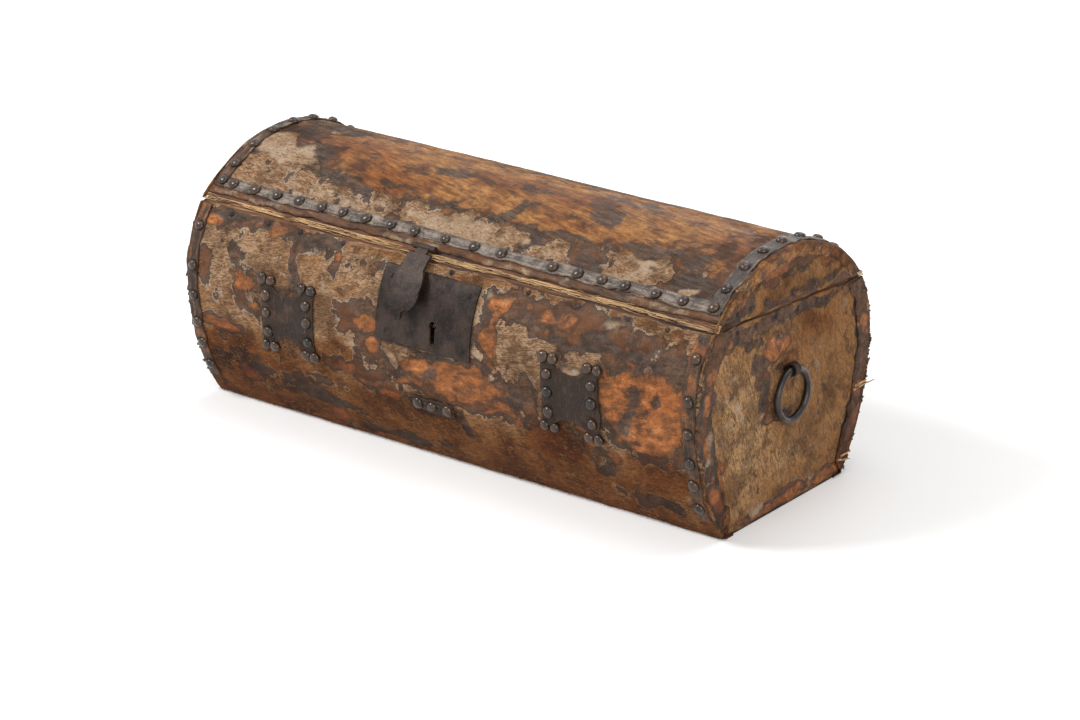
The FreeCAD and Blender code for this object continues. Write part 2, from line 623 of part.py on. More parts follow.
HOLLOW_RADIUS = (S.patch_width * S.patch_width / 4 + S.patch_waist * S.patch_waist) / (2 * S.patch_waist)
patches = {}
for word, place in (("left", S.left_patch_place), ("right", S.right_patch_place)):
    left, right = place - S.patch_width / 2, place + S.patch_width / 2
    low = S.patch_middle_height - S.patch_height / 2
    high = S.patch_middle_height + S.patch_height / 2
    spool = prism(f"{word}_spool", [(left, low), (right, low), (right, high), (left, high)], FAR,
                  [-HOLLOW_RADIUS, None, -HOLLOW_RADIUS, None], "XZ_Plane", both_ways=False)
    patches[word] = common(f"{word}_patch", leather_layer, spool)
patches["middle"] = on_layer(
    "middle_patch", leather_layer,
    (S.scrap_place - S.scrap_width / 2, -FAR, S.scrap_low),
    (S.scrap_place + S.scrap_width / 2, NIL, S.scrap_high))


# The lock plate and the iron behind it, laid out square to the wall at the lock's middle.
def turned(height, lift=NIL, side=front):
    """Where the wall lies at a height: a frame with x along the box, y up the wall and z out of it."""
    depth, level, normal = skin(height, lift)
    lean_angle = 90 - math.degrees(math.asin(normal.z))
    placed = Placement(Vector(0, depth, level), Rotation(Vector(1, 0, 0), lean_angle))
    if side == back:
        placed = Placement(Vector(0, 0, 0), Rotation(Vector(0, 0, 1), 180)).multiply(placed)
    return placed


def set_at(piece, frame):
    piece.Placement = frame
    return piece


def rod(name, radius, length, start, axis):
    """A round bar along one axis of the frame it is drawn in, from a starting point."""
    made = doc.addObject("Part::Cylinder", name)
    bind(made, "Radius", radius)
    bind(made, "Height", length)
    made.Placement = Placement(Vector(0, 0, 0), Rotation(Vector(0, 0, 1), axis))
    for letter, amount in zip("xyz", start):
        bind(made, f"Placement.Base.{letter}", amount)
    return made


ALONG, ACROSS = Vector(1, 0, 0), Vector(0, 1, 0)
PLATE_LEFT, PLATE_RIGHT = S.plate_place - S.plate_width / 2, S.plate_place + S.plate_width / 2
plate = on_layer("plate_sheet", iron_layer, (PLATE_LEFT, -FAR, S.plate_low), (PLATE_RIGHT, NIL, S.plate_high))
lock_frame = turned(S.lock_middle_height)
tilt = (S.lock_middle_height - S.belly_height) / SHOULDER_RADIUS
upright = cell("lock_upright_ratio", root(1 - tilt * tilt))
LOOP_UP = cell("loop_up", (S.loop_height - S.lock_middle_height) / upright)
KEY_UP = cell("key_up", (S.keyhole_eye_height - S.lock_middle_height) / upright)
PLATE_OUT = S.glue_gap + S.iron_thick
HASP_IN = cell("hasp_inside_lift", PLATE_OUT + S.hasp_air)
slot_side = S.loop_wide / 2 + S.slot_room
slot_rise = S.loop_tall / 2 + S.slot_room
loop_slot = block("loop_slot", (S.hasp_place - slot_side, LOOP_UP - slot_rise, -S.iron_thick * 2),
                  (S.hasp_place + slot_side, LOOP_UP + slot_rise, S.overrun))
plate = cut("plate_with_slot", plate, placed("loop_slot_placed", loop_slot, lock_frame))
keyhole_slot = block("keyhole_slot", (S.keyhole_place - S.keyhole_slot_width / 2, -FAR, S.keyhole_slot_low),
                     (S.keyhole_place + S.keyhole_slot_width / 2, NIL, S.keyhole_eye_height))
keyhole_eye = rod("keyhole_eye", S.keyhole_eye_radius, FAR, (S.keyhole_place, -FAR, S.keyhole_eye_height), ACROSS)
plate = cut("plate_with_keyhole", plate, fuse("keyhole", keyhole_slot, keyhole_eye))

mortise = placed("mortise", block(
    "mortise_block", (S.mortise_left, -S.mortise_below, -S.mortise_deep),
    (S.mortise_right, S.mortise_above, S.overrun)), lock_frame)
case_low = -S.mortise_deep + S.case_room
case_outer = block("case_outer", (S.mortise_left + S.case_room, -S.mortise_below + S.case_room, case_low),
                   (S.mortise_right - S.case_room, S.mortise_above - S.case_room, S.overrun))
shell = S.case_room + S.case_wall
CASE_BACK = case_low + S.case_wall
case_inner = block("case_inner", (S.mortise_left + shell, -S.mortise_below + shell, CASE_BACK),
                   (S.mortise_right - shell, S.mortise_above - shell, S.overrun * 2))
case_box = placed("case_box", cut("case_tray", case_outer, case_inner), lock_frame)
lock_case = common("lock_case", case_box, leather_bed)

BOLT_TOP = -S.bolt_sink
BOLT_LOW = BOLT_TOP - S.bolt_thick
BOLT_LEFT = S.hasp_place + S.loop_wide / 2 + S.bolt_end_gap
BOLT_RIGHT = S.mortise_right - shell - S.bolt_end_gap
bolt_bar = block("bolt_bar", (BOLT_LEFT, LOOP_UP - S.bolt_tall / 2, BOLT_LOW),
                 (BOLT_RIGHT, LOOP_UP + S.bolt_tall / 2, BOLT_TOP))
notch = block("bolt_notch_block", (S.keyhole_place - S.bolt_notch / 2, LOOP_UP - S.bolt_tall, BOLT_LOW - S.overrun),
              (S.keyhole_place + S.bolt_notch / 2, LOOP_UP - S.bolt_tall / 5, BOLT_TOP + S.overrun))
lock_bolt = cut("lock_bolt", bolt_bar, notch)
lock_bolt.Placement = lock_frame
GUIDE_SIDE = S.bolt_tall / 2 + S.bolt_room
guides = []
for word, start in (("left", BOLT_LEFT + S.guide_width),
                    ("right", BOLT_RIGHT - S.bolt_throw - S.bolt_end_gap - S.guide_width)):
    solid = block(f"{word}_guide_block", (start, LOOP_UP - GUIDE_SIDE - S.guide_wall, CASE_BACK),
                  (start + S.guide_width, LOOP_UP + GUIDE_SIDE + S.guide_wall, S.overrun))
    channel = block(f"{word}_channel", (start - S.overrun, LOOP_UP - GUIDE_SIDE, BOLT_LOW - S.bolt_room),
                    (start + S.overrun, LOOP_UP + GUIDE_SIDE, S.overrun * 2))
    whole = placed(f"{word}_guide_placed", cut(f"{word}_guide_cut", solid, channel), lock_frame)
    guides.append(common(f"{word}_bolt_guide", whole, leather_bed))
bolt_guides = doc.addObject("Part::Compound", "bolt_guides")
bolt_guides.Links = guides
key_pin = rod("key_pin", S.key_pin_radius, BOLT_TOP - CASE_BACK, (S.keyhole_place, KEY_UP, CASE_BACK), Vector(0, 0, 1))
key_pin = placed("lock_key_pin", key_pin, lock_frame)

# The hasp: a leaf bent to the curve of the wall, its loop, and the hinge it hangs from.
hasp_layer = cut("hasp_layer", drum("hasp_outer", -HASP_IN - S.hasp_thick, HALF), drum("hasp_inner", -HASP_IN, WIDE))


def bow(a, b, share):
    """A radius for the arc between two points, as a share of their distance."""
    across, up = b[0] - a[0], b[1] - a[1]
    return root(across * across + up * up) * share


half_outline = [
    (S.hasp_tip_width / 2, S.hasp_tip + S.hasp_tip_width / 2),
    (S.hasp_throat / 2, S.hasp_throat_height),
    (S.hasp_cheek / 2, S.hasp_cheek_height),
    (S.hasp_belly / 2, S.hasp_belly_height),
    (S.hasp_neck / 2, S.hasp_shoulder_height),
    (S.hasp_neck / 2, S.hasp_top)]
LEAF_BOW_SHARES = (0.7, -0.8, 0.8, 1.2, None)
TIP_BOW_SHARE = 0.52
outline = [(S.hasp_place + u, v) for u, v in half_outline]
outline += [(S.hasp_place - u, v) for u, v in half_outline[::-1]]
bends = [bow(outline[i], outline[i + 1], share) if share else None for i, share in enumerate(LEAF_BOW_SHARES)]
bends += [None] + bends[::-1] + [bow(outline[-1], outline[0], TIP_BOW_SHARE)]
leaf_shape = prism("hasp_leaf_outline", outline, FAR, bends, "XZ_Plane", both_ways=False)
leaf = common("hasp_leaf", hasp_layer, leaf_shape)
hasp_frame = turned(S.hasp_axis_height, S.hasp_axis_lift)
HALF_KNUCKLE = S.hasp_knuckle / 2
tongue = on_layer("hasp_tongue", hasp_layer, (S.hasp_place - HALF_KNUCKLE, -FAR, S.hasp_shoulder_height),
                  (S.hasp_place + HALF_KNUCKLE, NIL, S.hasp_axis_height + S.hasp_axis_lift / 2))
knuckle = placed("hasp_knuckle", rod(
    "hasp_knuckle_rod", S.hasp_knuckle_radius, S.hasp_knuckle, (S.hasp_place - HALF_KNUCKLE, NIL, NIL), ALONG),
    hasp_frame)
EYE_IN = HALF_KNUCKLE + S.knuckle_gap
EYE_OUT = EYE_IN + S.lid_eye_length
pin_hole = placed("hasp_pin_hole", rod(
    "hasp_pin_hole_rod", S.hasp_pin_radius + S.pin_room, 2 * EYE_OUT + 2 * S.overrun,
    (S.hasp_place - EYE_OUT - S.overrun, NIL, NIL), ALONG), hasp_frame)
hasp_pin = placed("hasp_pin", rod(
    "hasp_pin_rod", S.hasp_pin_radius, 2 * EYE_OUT, (S.hasp_place - EYE_OUT, NIL, NIL), ALONG), hasp_frame)
swung = Placement(Vector(0, 0, 0), Rotation(Vector(-1, 0, 0), S.hasp_stand_off.value), hasp_frame.Base)
hasp = cut("hasp", fuse("hasp_solid", leaf, tongue, knuckle), pin_hole)
hasp.Placement = swung
loop_low = HASP_IN - S.loop_deep
loop_block = block("loop_block", (S.hasp_place - S.loop_wide / 2, LOOP_UP - S.loop_tall / 2, loop_low),
                   (S.hasp_place + S.loop_wide / 2, LOOP_UP + S.loop_tall / 2, S.overrun))
loop_eye = block("loop_eye", (S.hasp_place - S.loop_wide, LOOP_UP - S.loop_tall / 2 + S.loop_wall, loop_low + S.loop_wall),
                 (S.hasp_place + S.loop_wide, LOOP_UP + S.loop_tall / 2 - S.loop_wall, S.overrun * 2))
loop_u = placed("loop_placed", cut("loop_u", loop_block, loop_eye), lock_frame)
hasp_bed = drum("hasp_bed", -HASP_IN, HALF)
hasp_loop = common("hasp_loop", loop_u, hasp_bed)
hasp_loop.Placement = swung

# The strap that carries the hasp's hinge, let into the lowest lid stave.
STRAP_LEFT, STRAP_RIGHT = S.hasp_place - EYE_OUT, S.hasp_place + EYE_OUT
strap_low = S.hasp_axis_height - S.hinge_web
strap_in = BOARD_INSET + S.iron_thick


def strap_shape(name, room):
    """The strap with its two webs, or the room for it."""
    layer = cut(name + "_layer", drum(name + "_face", BOARD_INSET, HALF), drum(name + "_back", strap_in + room, WIDE))
    flat = on_layer(name + "_flat", layer, (STRAP_LEFT - room, -FAR, strap_low - room),
                    (STRAP_RIGHT + room, NIL, S.hasp_strap_high + room))
    webs = []
    for side, word in ((-1, "left"), (1, "right")):
        ends = sorted((S.hasp_place + side * EYE_IN, S.hasp_place + side * EYE_OUT), key=float)
        webs.append(placed(f"{name}_{word}_web", block(
            f"{name}_{word}_web_block", (ends[0] - room, -S.hinge_web - room, -S.hasp_axis_lift - strap_in - room),
            (ends[1] + room, S.hinge_web + room, NIL)), hasp_frame))
    return flat, webs


flat, webs = strap_shape("strap", NIL)
eyes = []
for side, word in ((-1, "left"), (1, "right")):
    start = S.hasp_place + (EYE_IN if side > 0 else -EYE_OUT)
    eyes.append(placed(f"strap_{word}_eye", rod(
        f"strap_{word}_eye_rod", S.hasp_knuckle_radius, S.lid_eye_length, (start, NIL, NIL), ALONG), hasp_frame))
hasp_strap = cut("hasp_strap_bored", fuse("hasp_strap_solid", flat, *webs, *eyes), pin_hole)
room_flat, room_webs = strap_shape("recess", S.strap_room)
recess = fuse("strap_recess", room_flat, *room_webs)

# The back hinges: leaves bent to the wall, knuckles in turn on one pin.
def back_seam_height():
    """Where the seam plane meets the back of the outline."""
    level = MID_SEAM
    for step in range(4):
        rise = level - S.belly_height
        depth = SHOULDER_CENTRE + root(SHOULDER_RADIUS * SHOULDER_RADIUS - rise * rise)
        level = cell(f"back_seam_step_{'abcd'[step]}", seam_at(depth))
    return level


BACK_SEAM = back_seam_height()
hinge_frame = turned(BACK_SEAM, S.hinge_axis_lift, back)
KNUCKLE = (S.hinge_width - 2 * S.knuckle_gap) / 3
body_leaves, lid_leaves, pins = [], [], []
for side, word in ((-1, "left"), (1, "right")):
    middle = S.hinge_place * side
    half_width = S.hinge_width / 2
    bore = placed(f"{word}_hinge_bore", rod(
        f"{word}_bore_rod", S.hinge_pin_radius + S.pin_room, S.hinge_width + 2 * S.overrun,
        (-middle - half_width - S.overrun, NIL, NIL), ALONG), hinge_frame)
    pins.append(placed(f"{word}_hinge_pin", rod(
        f"{word}_pin_rod", S.hinge_pin_radius, S.hinge_width, (-middle - half_width, NIL, NIL), ALONG), hinge_frame))
    knuckles = []
    for number in range(3):
        start = -half_width + number * (KNUCKLE + S.knuckle_gap)
        knuckles.append((start, placed(f"{word}_knuckle_{number}", rod(
            f"{word}_knuckle_rod_{number}", S.hinge_knuckle_radius, KNUCKLE, (-middle + start, NIL, NIL), ALONG),
            hinge_frame)))
    body_broad = on_layer(f"{word}_body_broad", iron_layer, (middle - half_width, NIL, S.body_leaf_low),
                          (middle + half_width, FAR, BACK_SEAM - S.leaf_seam_gap))
    body_bits = [body_broad]
    lid_broad = on_layer(f"{word}_lid_broad", iron_layer, (middle - half_width, NIL, BACK_SEAM + S.leaf_seam_gap),
                         (middle + half_width, FAR, S.lid_leaf_high))
    lid_bits = [lid_broad]
    for number, (start, solid) in enumerate(knuckles):
        low, high = middle + start, middle + start + KNUCKLE
        if number == 1:
            lid_bits += [solid, on_layer(f"{word}_lid_tongue", iron_layer, (low, NIL, BACK_SEAM + S.lid_gap),
                                         (high, FAR, BACK_SEAM + 2 * S.leaf_seam_gap))]
        else:
            body_bits += [solid, on_layer(f"{word}_body_tongue_{number}", iron_layer,
                                          (low, NIL, BACK_SEAM - 2 * S.leaf_seam_gap), (high, FAR, BACK_SEAM - S.lid_gap))]
    body_leaves.append(cut(f"{word}_body_leaf", fuse(f"{word}_body_leaf_solid", *body_bits), bore))
    lid_leaves.append(cut(f"{word}_lid_leaf", fuse(f"{word}_lid_leaf_solid", *lid_bits), bore))


# Studs and nails. One of each is turned, and every group holds copies set square to the surface.
def turned_nail(name, head, rise, shank, reach, dome, room=NIL):
    """A nail standing on its point, with the underside of its head at the origin, or the hole for it."""
    body = doc.addObject("PartDesign::Body", name)
    half_head, half_shank = head / 2 + room, shank / 2 + room
    crown = (half_head * half_head + rise * rise) / (2 * rise)
    points = [(NIL, -reach - room), (half_shank, -reach - room), (half_shank, -room), (half_head, -room)]
    points += [(NIL, rise)] if dome else [(half_head, rise), (NIL, rise)]
    radii = [None, None, None, crown if dome else None] + [None] * (len(points) - 4)
    sketch = sketch_loop(body, "XZ_Plane", points, radii)
    turn = body.newObject("PartDesign::Revolution", "turned")
    turn.Profile = sketch
    turn.ReferenceAxis = (sketch, ["V_Axis"])
    turn.Angle = 360
    return body


def shank_hole(name, shank, reach):
    """The hole for a nail whose head stays outside."""
    return rod(name, shank / 2 + S.nail_room, reach + S.nail_room + S.overrun / 4,
               (NIL, NIL, -reach - S.nail_room), Vector(0, 0, 1))


stud = turned_nail("one_stud", S.stud_head, S.stud_rise, S.stud_shank, S.stud_reach, True)
tack = turned_nail("one_tack", S.tack_head, S.tack_rise, S.tack_shank, S.tack_reach, True)
board_nail = turned_nail("one_board_nail", S.board_nail_head, S.board_nail_rise, S.board_nail_shank,
                         S.board_nail_reach, False)
strap_nail = turned_nail("one_strap_nail", S.board_nail_head, S.board_nail_rise, S.board_nail_shank,
                         S.strap_nail_reach, False)
stud_hole = shank_hole("stud_hole", S.stud_shank, S.stud_reach)
tack_hole = shank_hole("tack_hole", S.tack_shank, S.tack_reach)
OPEN_RISE = S.board_nail_rise + S.glue_gap / 2
board_hole = turned_nail("board_nail_hole", S.board_nail_head, OPEN_RISE, S.board_nail_shank,
                         S.board_nail_reach, False, S.nail_room)
strap_hole = turned_nail("strap_nail_hole", S.board_nail_head, OPEN_RISE, S.board_nail_shank,
                         S.strap_nail_reach, False, S.nail_room)
doc.recompute()


def on_wall(place, height, lift, side=front):
    """Where a nail goes on the front or back wall: its place and the way its head faces."""
    depth, level, normal = skin(height, lift)
    return Vector(float(place), -depth * side, level), Vector(0, -normal.y * side, normal.z)


def on_crown(place, depth, lift):
    """Where a nail goes on the lid, by its depth from the middle."""
    depth = float(depth)
    turn = float(SHOULDER_CENTRE + CROWN_OUT * SHOULDER_RADIUS)
    if abs(depth) > turn:
        over = math.copysign(float(SHOULDER_CENTRE), depth)
        middle, radius = float(S.belly_height), float(SHOULDER_RADIUS)
    else:
        over, middle, radius = 0.0, float(CROWN_CENTRE), float(CROWN_RADIUS)
    out = (depth - over) / radius
    up = math.sqrt(1 - out * out)
    reach = radius + float(lift)
    return Vector(float(place), over + out * reach, middle + up * reach), Vector(0, out, up)


def on_end(side, depth, height, lift):
    """Where a nail goes on an end face."""
    return Vector(side * float(lift), float(depth), float(height)), Vector(side, 0, 0)


def copies(name, pattern, places, lift):
    """Copies of one shape at (place, facing) pairs, as separate solids of one piece."""
    solids = []
    for place, facing in places:
        one = pattern.Shape.copy()
        one.Placement = Placement(place + facing * float(lift), Rotation(Vector(0, 0, 1), facing)) \
            .multiply(pattern.Placement)
        solids.append(one)
    made = doc.addObject("Part::Feature", name)
    made.Shape = Part.makeCompound(solids)
    return made


LEATHER_LIFT = S.glue_gap + S.leather_thick
STRIP_STUD_HEIGHT = (S.lid_strip_low + S.lid_strip_high) / 2
LID_STUD_X = HALF - S.lid_end_strip_inset - S.lid_end_strip_width / 2
CORNER_STUD_X = HALF - S.corner_strip_inset - S.corner_strip_width / 2
lid_front_studs = [on_wall(S.length * share, STRIP_STUD_HEIGHT, LEATHER_LIFT) for share in LID_STUD_SHARES]
lid_end_studs = [on_crown(LID_STUD_X * end, S.belly_half_depth * share, LEATHER_LIFT)
                 for end in (-1, 1) for share in LID_END_STUD_SHARES]
corner_studs = [on_wall(CORNER_STUD_X * end, OVERALL * share, LEATHER_LIFT, side)
                for side in (front, back) for end in (-1, 1) for share in CORNER_STUD_SHARES]
patch_studs = []
for middle in (S.left_patch_place, S.right_patch_place):
    for column in (-1, 1):
        line = middle + column * S.patch_column_spread / 2
        for share in PATCH_STUD_SHARES:
            patch_studs.append(on_wall(line, S.patch_middle_height + S.patch_height * share, LEATHER_LIFT))
        for end in (-1, 1):
            level = S.patch_middle_height + S.patch_height * PATCH_PAIR_SHARE * end
            for pair in (-1, 1):
                patch_studs.append(on_wall(line + pair * S.stud_pair_spread / 2, level, LEATHER_LIFT))
for share in SCRAP_STUD_SHARES:
    patch_studs.append(
        on_wall(S.scrap_place + S.scrap_width * share, (S.scrap_low + S.scrap_high) / 2, LEATHER_LIFT))

TACK_MARGIN = S.tack_head
END_FACE = HALF - S.hide_thick - S.glue_gap
front_rim = seam_at(-S.belly_half_depth) - S.body_reveal - TACK_MARGIN
back_rim = BACK_SEAM - S.body_reveal - TACK_MARGIN
body_tacks = [on_wall(S.length * share, front_rim, NIL) for share in BODY_TACK_SHARES]
body_tacks += [on_wall(S.length * share, back_rim, NIL, back) for share in BACK_TACK_SHARES]
lid_tacks = [on_wall(S.length * share, BACK_SEAM + S.lid_reveal + TACK_MARGIN, NIL, back)
             for share in BACK_TACK_SHARES]
for end in (-1, 1):
    for share in END_TACK_SHARES:
        depth = S.belly_half_depth * share
        body_tacks.append(on_end(end, depth, seam_at(depth) - S.body_reveal - TACK_MARGIN, END_FACE))
    for share in LID_TACK_SHARES:
        depth = S.belly_half_depth * share
        lid_tacks.append(on_end(end, depth, seam_at(depth) + S.lid_reveal + TACK_MARGIN, END_FACE))
    for share in LEAF_NAIL_SHARES:
        low, high = S.body_leaf_low, BACK_SEAM - S.leaf_seam_gap
        body_tacks.append(on_wall(S.hinge_place * end, low + (high - low) * share, PLATE_OUT, back))
        low, high = BACK_SEAM + S.leaf_seam_gap, S.lid_leaf_high
        lid_tacks.append(on_wall(S.hinge_place * end, low + (high - low) * share, PLATE_OUT, back))
    for level in (S.plate_low + S.plate_nail_margin, S.plate_high - S.plate_nail_margin):
        body_tacks.append(on_wall(
            S.plate_place + end * (S.plate_width / 2 - S.plate_nail_margin), level, PLATE_OUT))

# Nails that hold the boards together, driven and sunk before the hide went on.
NAIL_X = END_BOARD_FACE - S.end_thick / 2
body_nails, lid_nails = [], []
for end in (-1, 1):
    for side in (front, back):
        for low, high in ((FLOOR_TOP, S.lower_joint_height), (S.lower_joint_height, S.upper_joint_height),
                          (S.upper_joint_height, BACK_SEAM)):
            for share in BOARD_NAIL_SHARES:
                body_nails.append(on_wall(NAIL_X * end, low + (high - low) * share, -BOARD_INSET, side))
    for share in LID_BOARD_NAIL_SHARES:
        lid_nails.append(on_crown(NAIL_X * end, S.belly_half_depth * share, -BOARD_INSET))
    for share in FLOOR_NAIL_SHARES:
        body_nails.append((Vector(float(NAIL_X) * end, float(SHEET_HALF * share), float(BOARD_INSET)),
                           Vector(0, 0, -1)))
strap_span = S.hasp_strap_high - S.hasp_axis_height
strap_nails = [on_wall(S.hasp_place + side * HALF_KNUCKLE, S.hasp_strap_high - strap_span / 4, -BOARD_INSET)
               for side in (-1, 1)]

DRIVEN = (
    (stud_hole, lid_front_studs + lid_end_studs, "lid", S.seat_gap),
    (stud_hole, corner_studs + patch_studs, "body", S.seat_gap),
    (tack_hole, lid_tacks, "lid", S.seat_gap),
    (tack_hole, body_tacks, "body", S.seat_gap),
    (board_hole, body_nails, "body", -S.board_nail_rise),
    (board_hole, lid_nails, "lid", -S.board_nail_rise),
    (strap_hole, strap_nails, "lid", -S.board_nail_rise),
)


def drilled(label, piece, group):
    """The finished piece, with a hole for each nail that goes through it."""
    doc.recompute()
    room = piece.Shape.BoundBox
    reached = []
    for hole, places, owner, lift in DRIVEN:
        if owner == group:
            made = copies("try", hole, places, lift)
            reached += [s for s in made.Shape.Solids if s.BoundBox.intersect(room)]
            doc.removeObject(made.Name)
    reached = [s for s in reached if s.common(piece.Shape).Volume > 0]
    if not reached:
        return keep(piece, label)
    holes = doc.addObject("Part::Feature", label + "_holes")
    holes.Shape = Part.makeCompound(reached)
    return keep(cut(label + "_drilled", piece, holes), label)


def joined(label, pieces, group):
    """Several like pieces, each drilled, as separate solids under one name."""
    made = doc.addObject("Part::Compound", label + "_set")
    made.Links = [drilled(f"{label}_{i}", piece, group) for i, piece in enumerate(pieces)]
    for piece in made.Links:
        parts.remove(piece)
    return keep(made, label)


# Ring handles and the straps they hang in, clenched inside the end boards.
EYE_INSIDE = S.ring_wire + S.eye_room
EYE_OUTSIDE = EYE_INSIDE + S.eye_strap_thick
RING_X = HALF + S.eye_gap + EYE_OUTSIDE
BOARD_INSIDE = END_BOARD_FACE - S.end_thick
half_strap = S.eye_strap_width / 2
pins_through, ring_holes, rings = [], {}, {}
for side, word in ((-1, "left"), (1, "right")):
    middle = (RING_X * side, -half_strap, S.ring_eye_height)
    loop_out = rod(f"{word}_eye_outer", EYE_OUTSIDE, S.eye_strap_width, middle, Vector(0, 1, 0))
    loop_in = rod(f"{word}_eye_inner", EYE_INSIDE, FAR, (RING_X * side, -FAR / 2, S.ring_eye_height), Vector(0, 1, 0))
    ends = sorted((RING_X * side, (BOARD_INSIDE - S.eye_strap_thick) * side), key=float)
    shank = block(f"{word}_eye_shank", (ends[0], -half_strap, S.ring_eye_height - S.shank_tall / 2),
                  (ends[1], half_strap, S.ring_eye_height + S.shank_tall / 2))
    faces = sorted((BOARD_INSIDE * side, (BOARD_INSIDE - S.eye_strap_thick) * side), key=float)
    clench_rise = S.shank_tall / 2 + S.clench_length
    clench = block(f"{word}_clench", (faces[0], -half_strap, S.ring_eye_height - clench_rise),
                   (faces[1], half_strap, S.ring_eye_height + clench_rise))
    pins_through.append(cut(f"{word}_split_pin", fuse(f"{word}_pin_solid", loop_out, shank, clench), loop_in))
    gap = S.nail_room
    ring_holes[word] = block(
        f"{word}_pin_hole", (ends[0] - S.overrun if side < 0 else ends[0], -half_strap - gap,
                             S.ring_eye_height - S.shank_tall / 2 - gap),
        (ends[1] + S.overrun if side > 0 else ends[1], half_strap + gap,
         S.ring_eye_height + S.shank_tall / 2 + gap))
    ring = doc.addObject("Part::Torus", f"{word}_ring")
    bind(ring, "Radius1", S.ring_radius)
    bind(ring, "Radius2", S.ring_wire)
    ring.Placement = Placement(Vector(0, 0, 0), Rotation(Vector(0, 1, 0), 90))
    bind(ring, "Placement.Base.x", RING_X * side)
    bind(ring, "Placement.Base.z", S.ring_eye_height - S.ring_radius)
    rings[word] = ring

# The pieces themselves, each with its openings and holes, under its own name.
drilled("bottom_board", bottom_board, "body")
for (word, level), piece in staves.items():
    if (word, level) == ("front", "upper"):
        piece = cut("front_stave_mortised", piece, mortise)
    drilled(f"{word}_stave_{level}", piece, "body")
lid_staves[0] = cut("lid_stave_1_recessed", lid_staves[0], recess)
for number, piece in enumerate(lid_staves, start=1):
    drilled(f"lid_stave_{number}", piece, "lid")
for word in ("left", "right"):
    drilled(f"{word}_end_board", cut(f"{word}_end_board_bored", end_boards[word], ring_holes[word]), "body")
    drilled(f"lid_{word}_end_board", lid_end_boards[word], "lid")
    drilled(f"{word}_end_hide", cut(f"{word}_end_hide_bored", hides[word + "_end"], ring_holes[word]), "body")
    drilled(f"lid_{word}_end_hide", hides["lid_" + word], "lid")
drilled("body_front_hide", cut("front_hide_mortised", hides["front"], mortise), "body")
drilled("body_back_hide", hides["back"], "body")
keep(hides["bottom"], "body_bottom_hide")
hem_notch = block("hem_notch", (STRAP_LEFT - S.slot_room, -FAR, NIL), (STRAP_RIGHT + S.slot_room, NIL, S.hem_notch_high))
drilled("lid_hide", cut("lid_hide_notched", hides["lid"], hem_notch), "lid")
for word in ("front", "left", "right"):
    drilled(f"lid_{word}_strip", strips["lid_" + word], "lid")
for wall in ("front", "back"):
    for word in ("left", "right"):
        drilled(f"body_{wall}_{word}_strip", strips[f"{wall}_{word}"], "body")
for word in ("left", "right", "middle"):
    drilled(f"{word}_patch", patches[word], "body")
drilled("lock_plate", plate, "body")
keep(lock_case, "lock_case")
keep(bolt_guides, "bolt_guides")
keep(lock_bolt, "lock_bolt")
keep(key_pin, "lock_key_pin")
keep(hasp, "hasp")
keep(hasp_loop, "hasp_loop")
drilled("hasp_strap", hasp_strap, "lid")
keep(hasp_pin, "hasp_pin")
joined("body_hinge_leaves", body_leaves, "body")
joined("lid_hinge_leaves", lid_leaves, "lid")
hinge_pins = doc.addObject("Part::Compound", "hinge_pins")
hinge_pins.Links = pins
keep(hinge_pins, "hinge_pins")
for word in ("left", "right"):
    keep(rings[word], f"{word}_ring")
ring_eyes = doc.addObject("Part::Compound", "ring_eyes")
ring_eyes.Links = pins_through
keep(ring_eyes, "ring_eyes")
for label, pattern, places, lift in (
        ("lid_front_studs", stud, lid_front_studs, S.seat_gap), ("lid_end_studs", stud, lid_end_studs, S.seat_gap),
        ("body_corner_studs", stud, corner_studs, S.seat_gap), ("patch_studs", stud, patch_studs, S.seat_gap),
        ("body_tacks", tack, body_tacks, S.seat_gap), ("lid_tacks", tack, lid_tacks, S.seat_gap),
        ("body_board_nails", board_nail, body_nails, -S.board_nail_rise),
        ("lid_board_nails", board_nail, lid_nails, -S.board_nail_rise),
        ("hasp_strap_nails", strap_nail, strap_nails, -S.board_nail_rise)):
    keep(copies(label + "_group", pattern, places, lift), label)

doc.recompute()
failed = [thing.Label for thing in doc.Objects if {"Invalid", "Error"} & set(thing.State)]
if failed:
    raise RuntimeError(f"did not rebuild: {failed}")
os.makedirs("parts", exist_ok=True)
for piece in parts:
    shape = piece.Shape
    if shape.isNull() or not shape.isValid() or not shape.Solids:
        raise RuntimeError(f"{piece.Label} has no sound shape")
for piece in parts:
    shape = piece.Shape
    shape.exportStep(f"parts/{piece.Label}.step")
    size = shape.BoundBox
    print(f"{piece.Label:24s} solids {len(shape.Solids):3d}  volume {shape.Volume:12.1f}  "
          f"x {size.XMin:8.2f} {size.XMax:8.2f}  y {size.YMin:8.2f} {size.YMax:8.2f}  "
          f"z {size.ZMin:8.2f} {size.ZMax:8.2f}")
print(len(parts), "pieces")
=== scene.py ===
import math

import bpy
import numpy as np
from bpy.props import FloatProperty, FloatVectorProperty, PointerProperty
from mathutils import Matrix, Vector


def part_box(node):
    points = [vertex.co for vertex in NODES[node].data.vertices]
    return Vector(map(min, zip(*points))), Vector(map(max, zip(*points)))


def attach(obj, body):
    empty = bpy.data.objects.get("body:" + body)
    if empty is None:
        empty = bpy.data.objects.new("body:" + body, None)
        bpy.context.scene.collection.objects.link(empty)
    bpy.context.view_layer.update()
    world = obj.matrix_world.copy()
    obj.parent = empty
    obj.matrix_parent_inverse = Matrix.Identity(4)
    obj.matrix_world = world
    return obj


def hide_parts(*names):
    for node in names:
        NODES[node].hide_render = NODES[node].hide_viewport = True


bl_info = {
    "name": "Hide-covered travel box",
    "version": (1, 0, 0),
    "blender": (4, 5, 0),
    "location": "3D View > Sidebar > Travel box",
    "description": "Skins, leather, nails and ironwork of an old barrel-shaped travel box",
    "category": "Object",
}

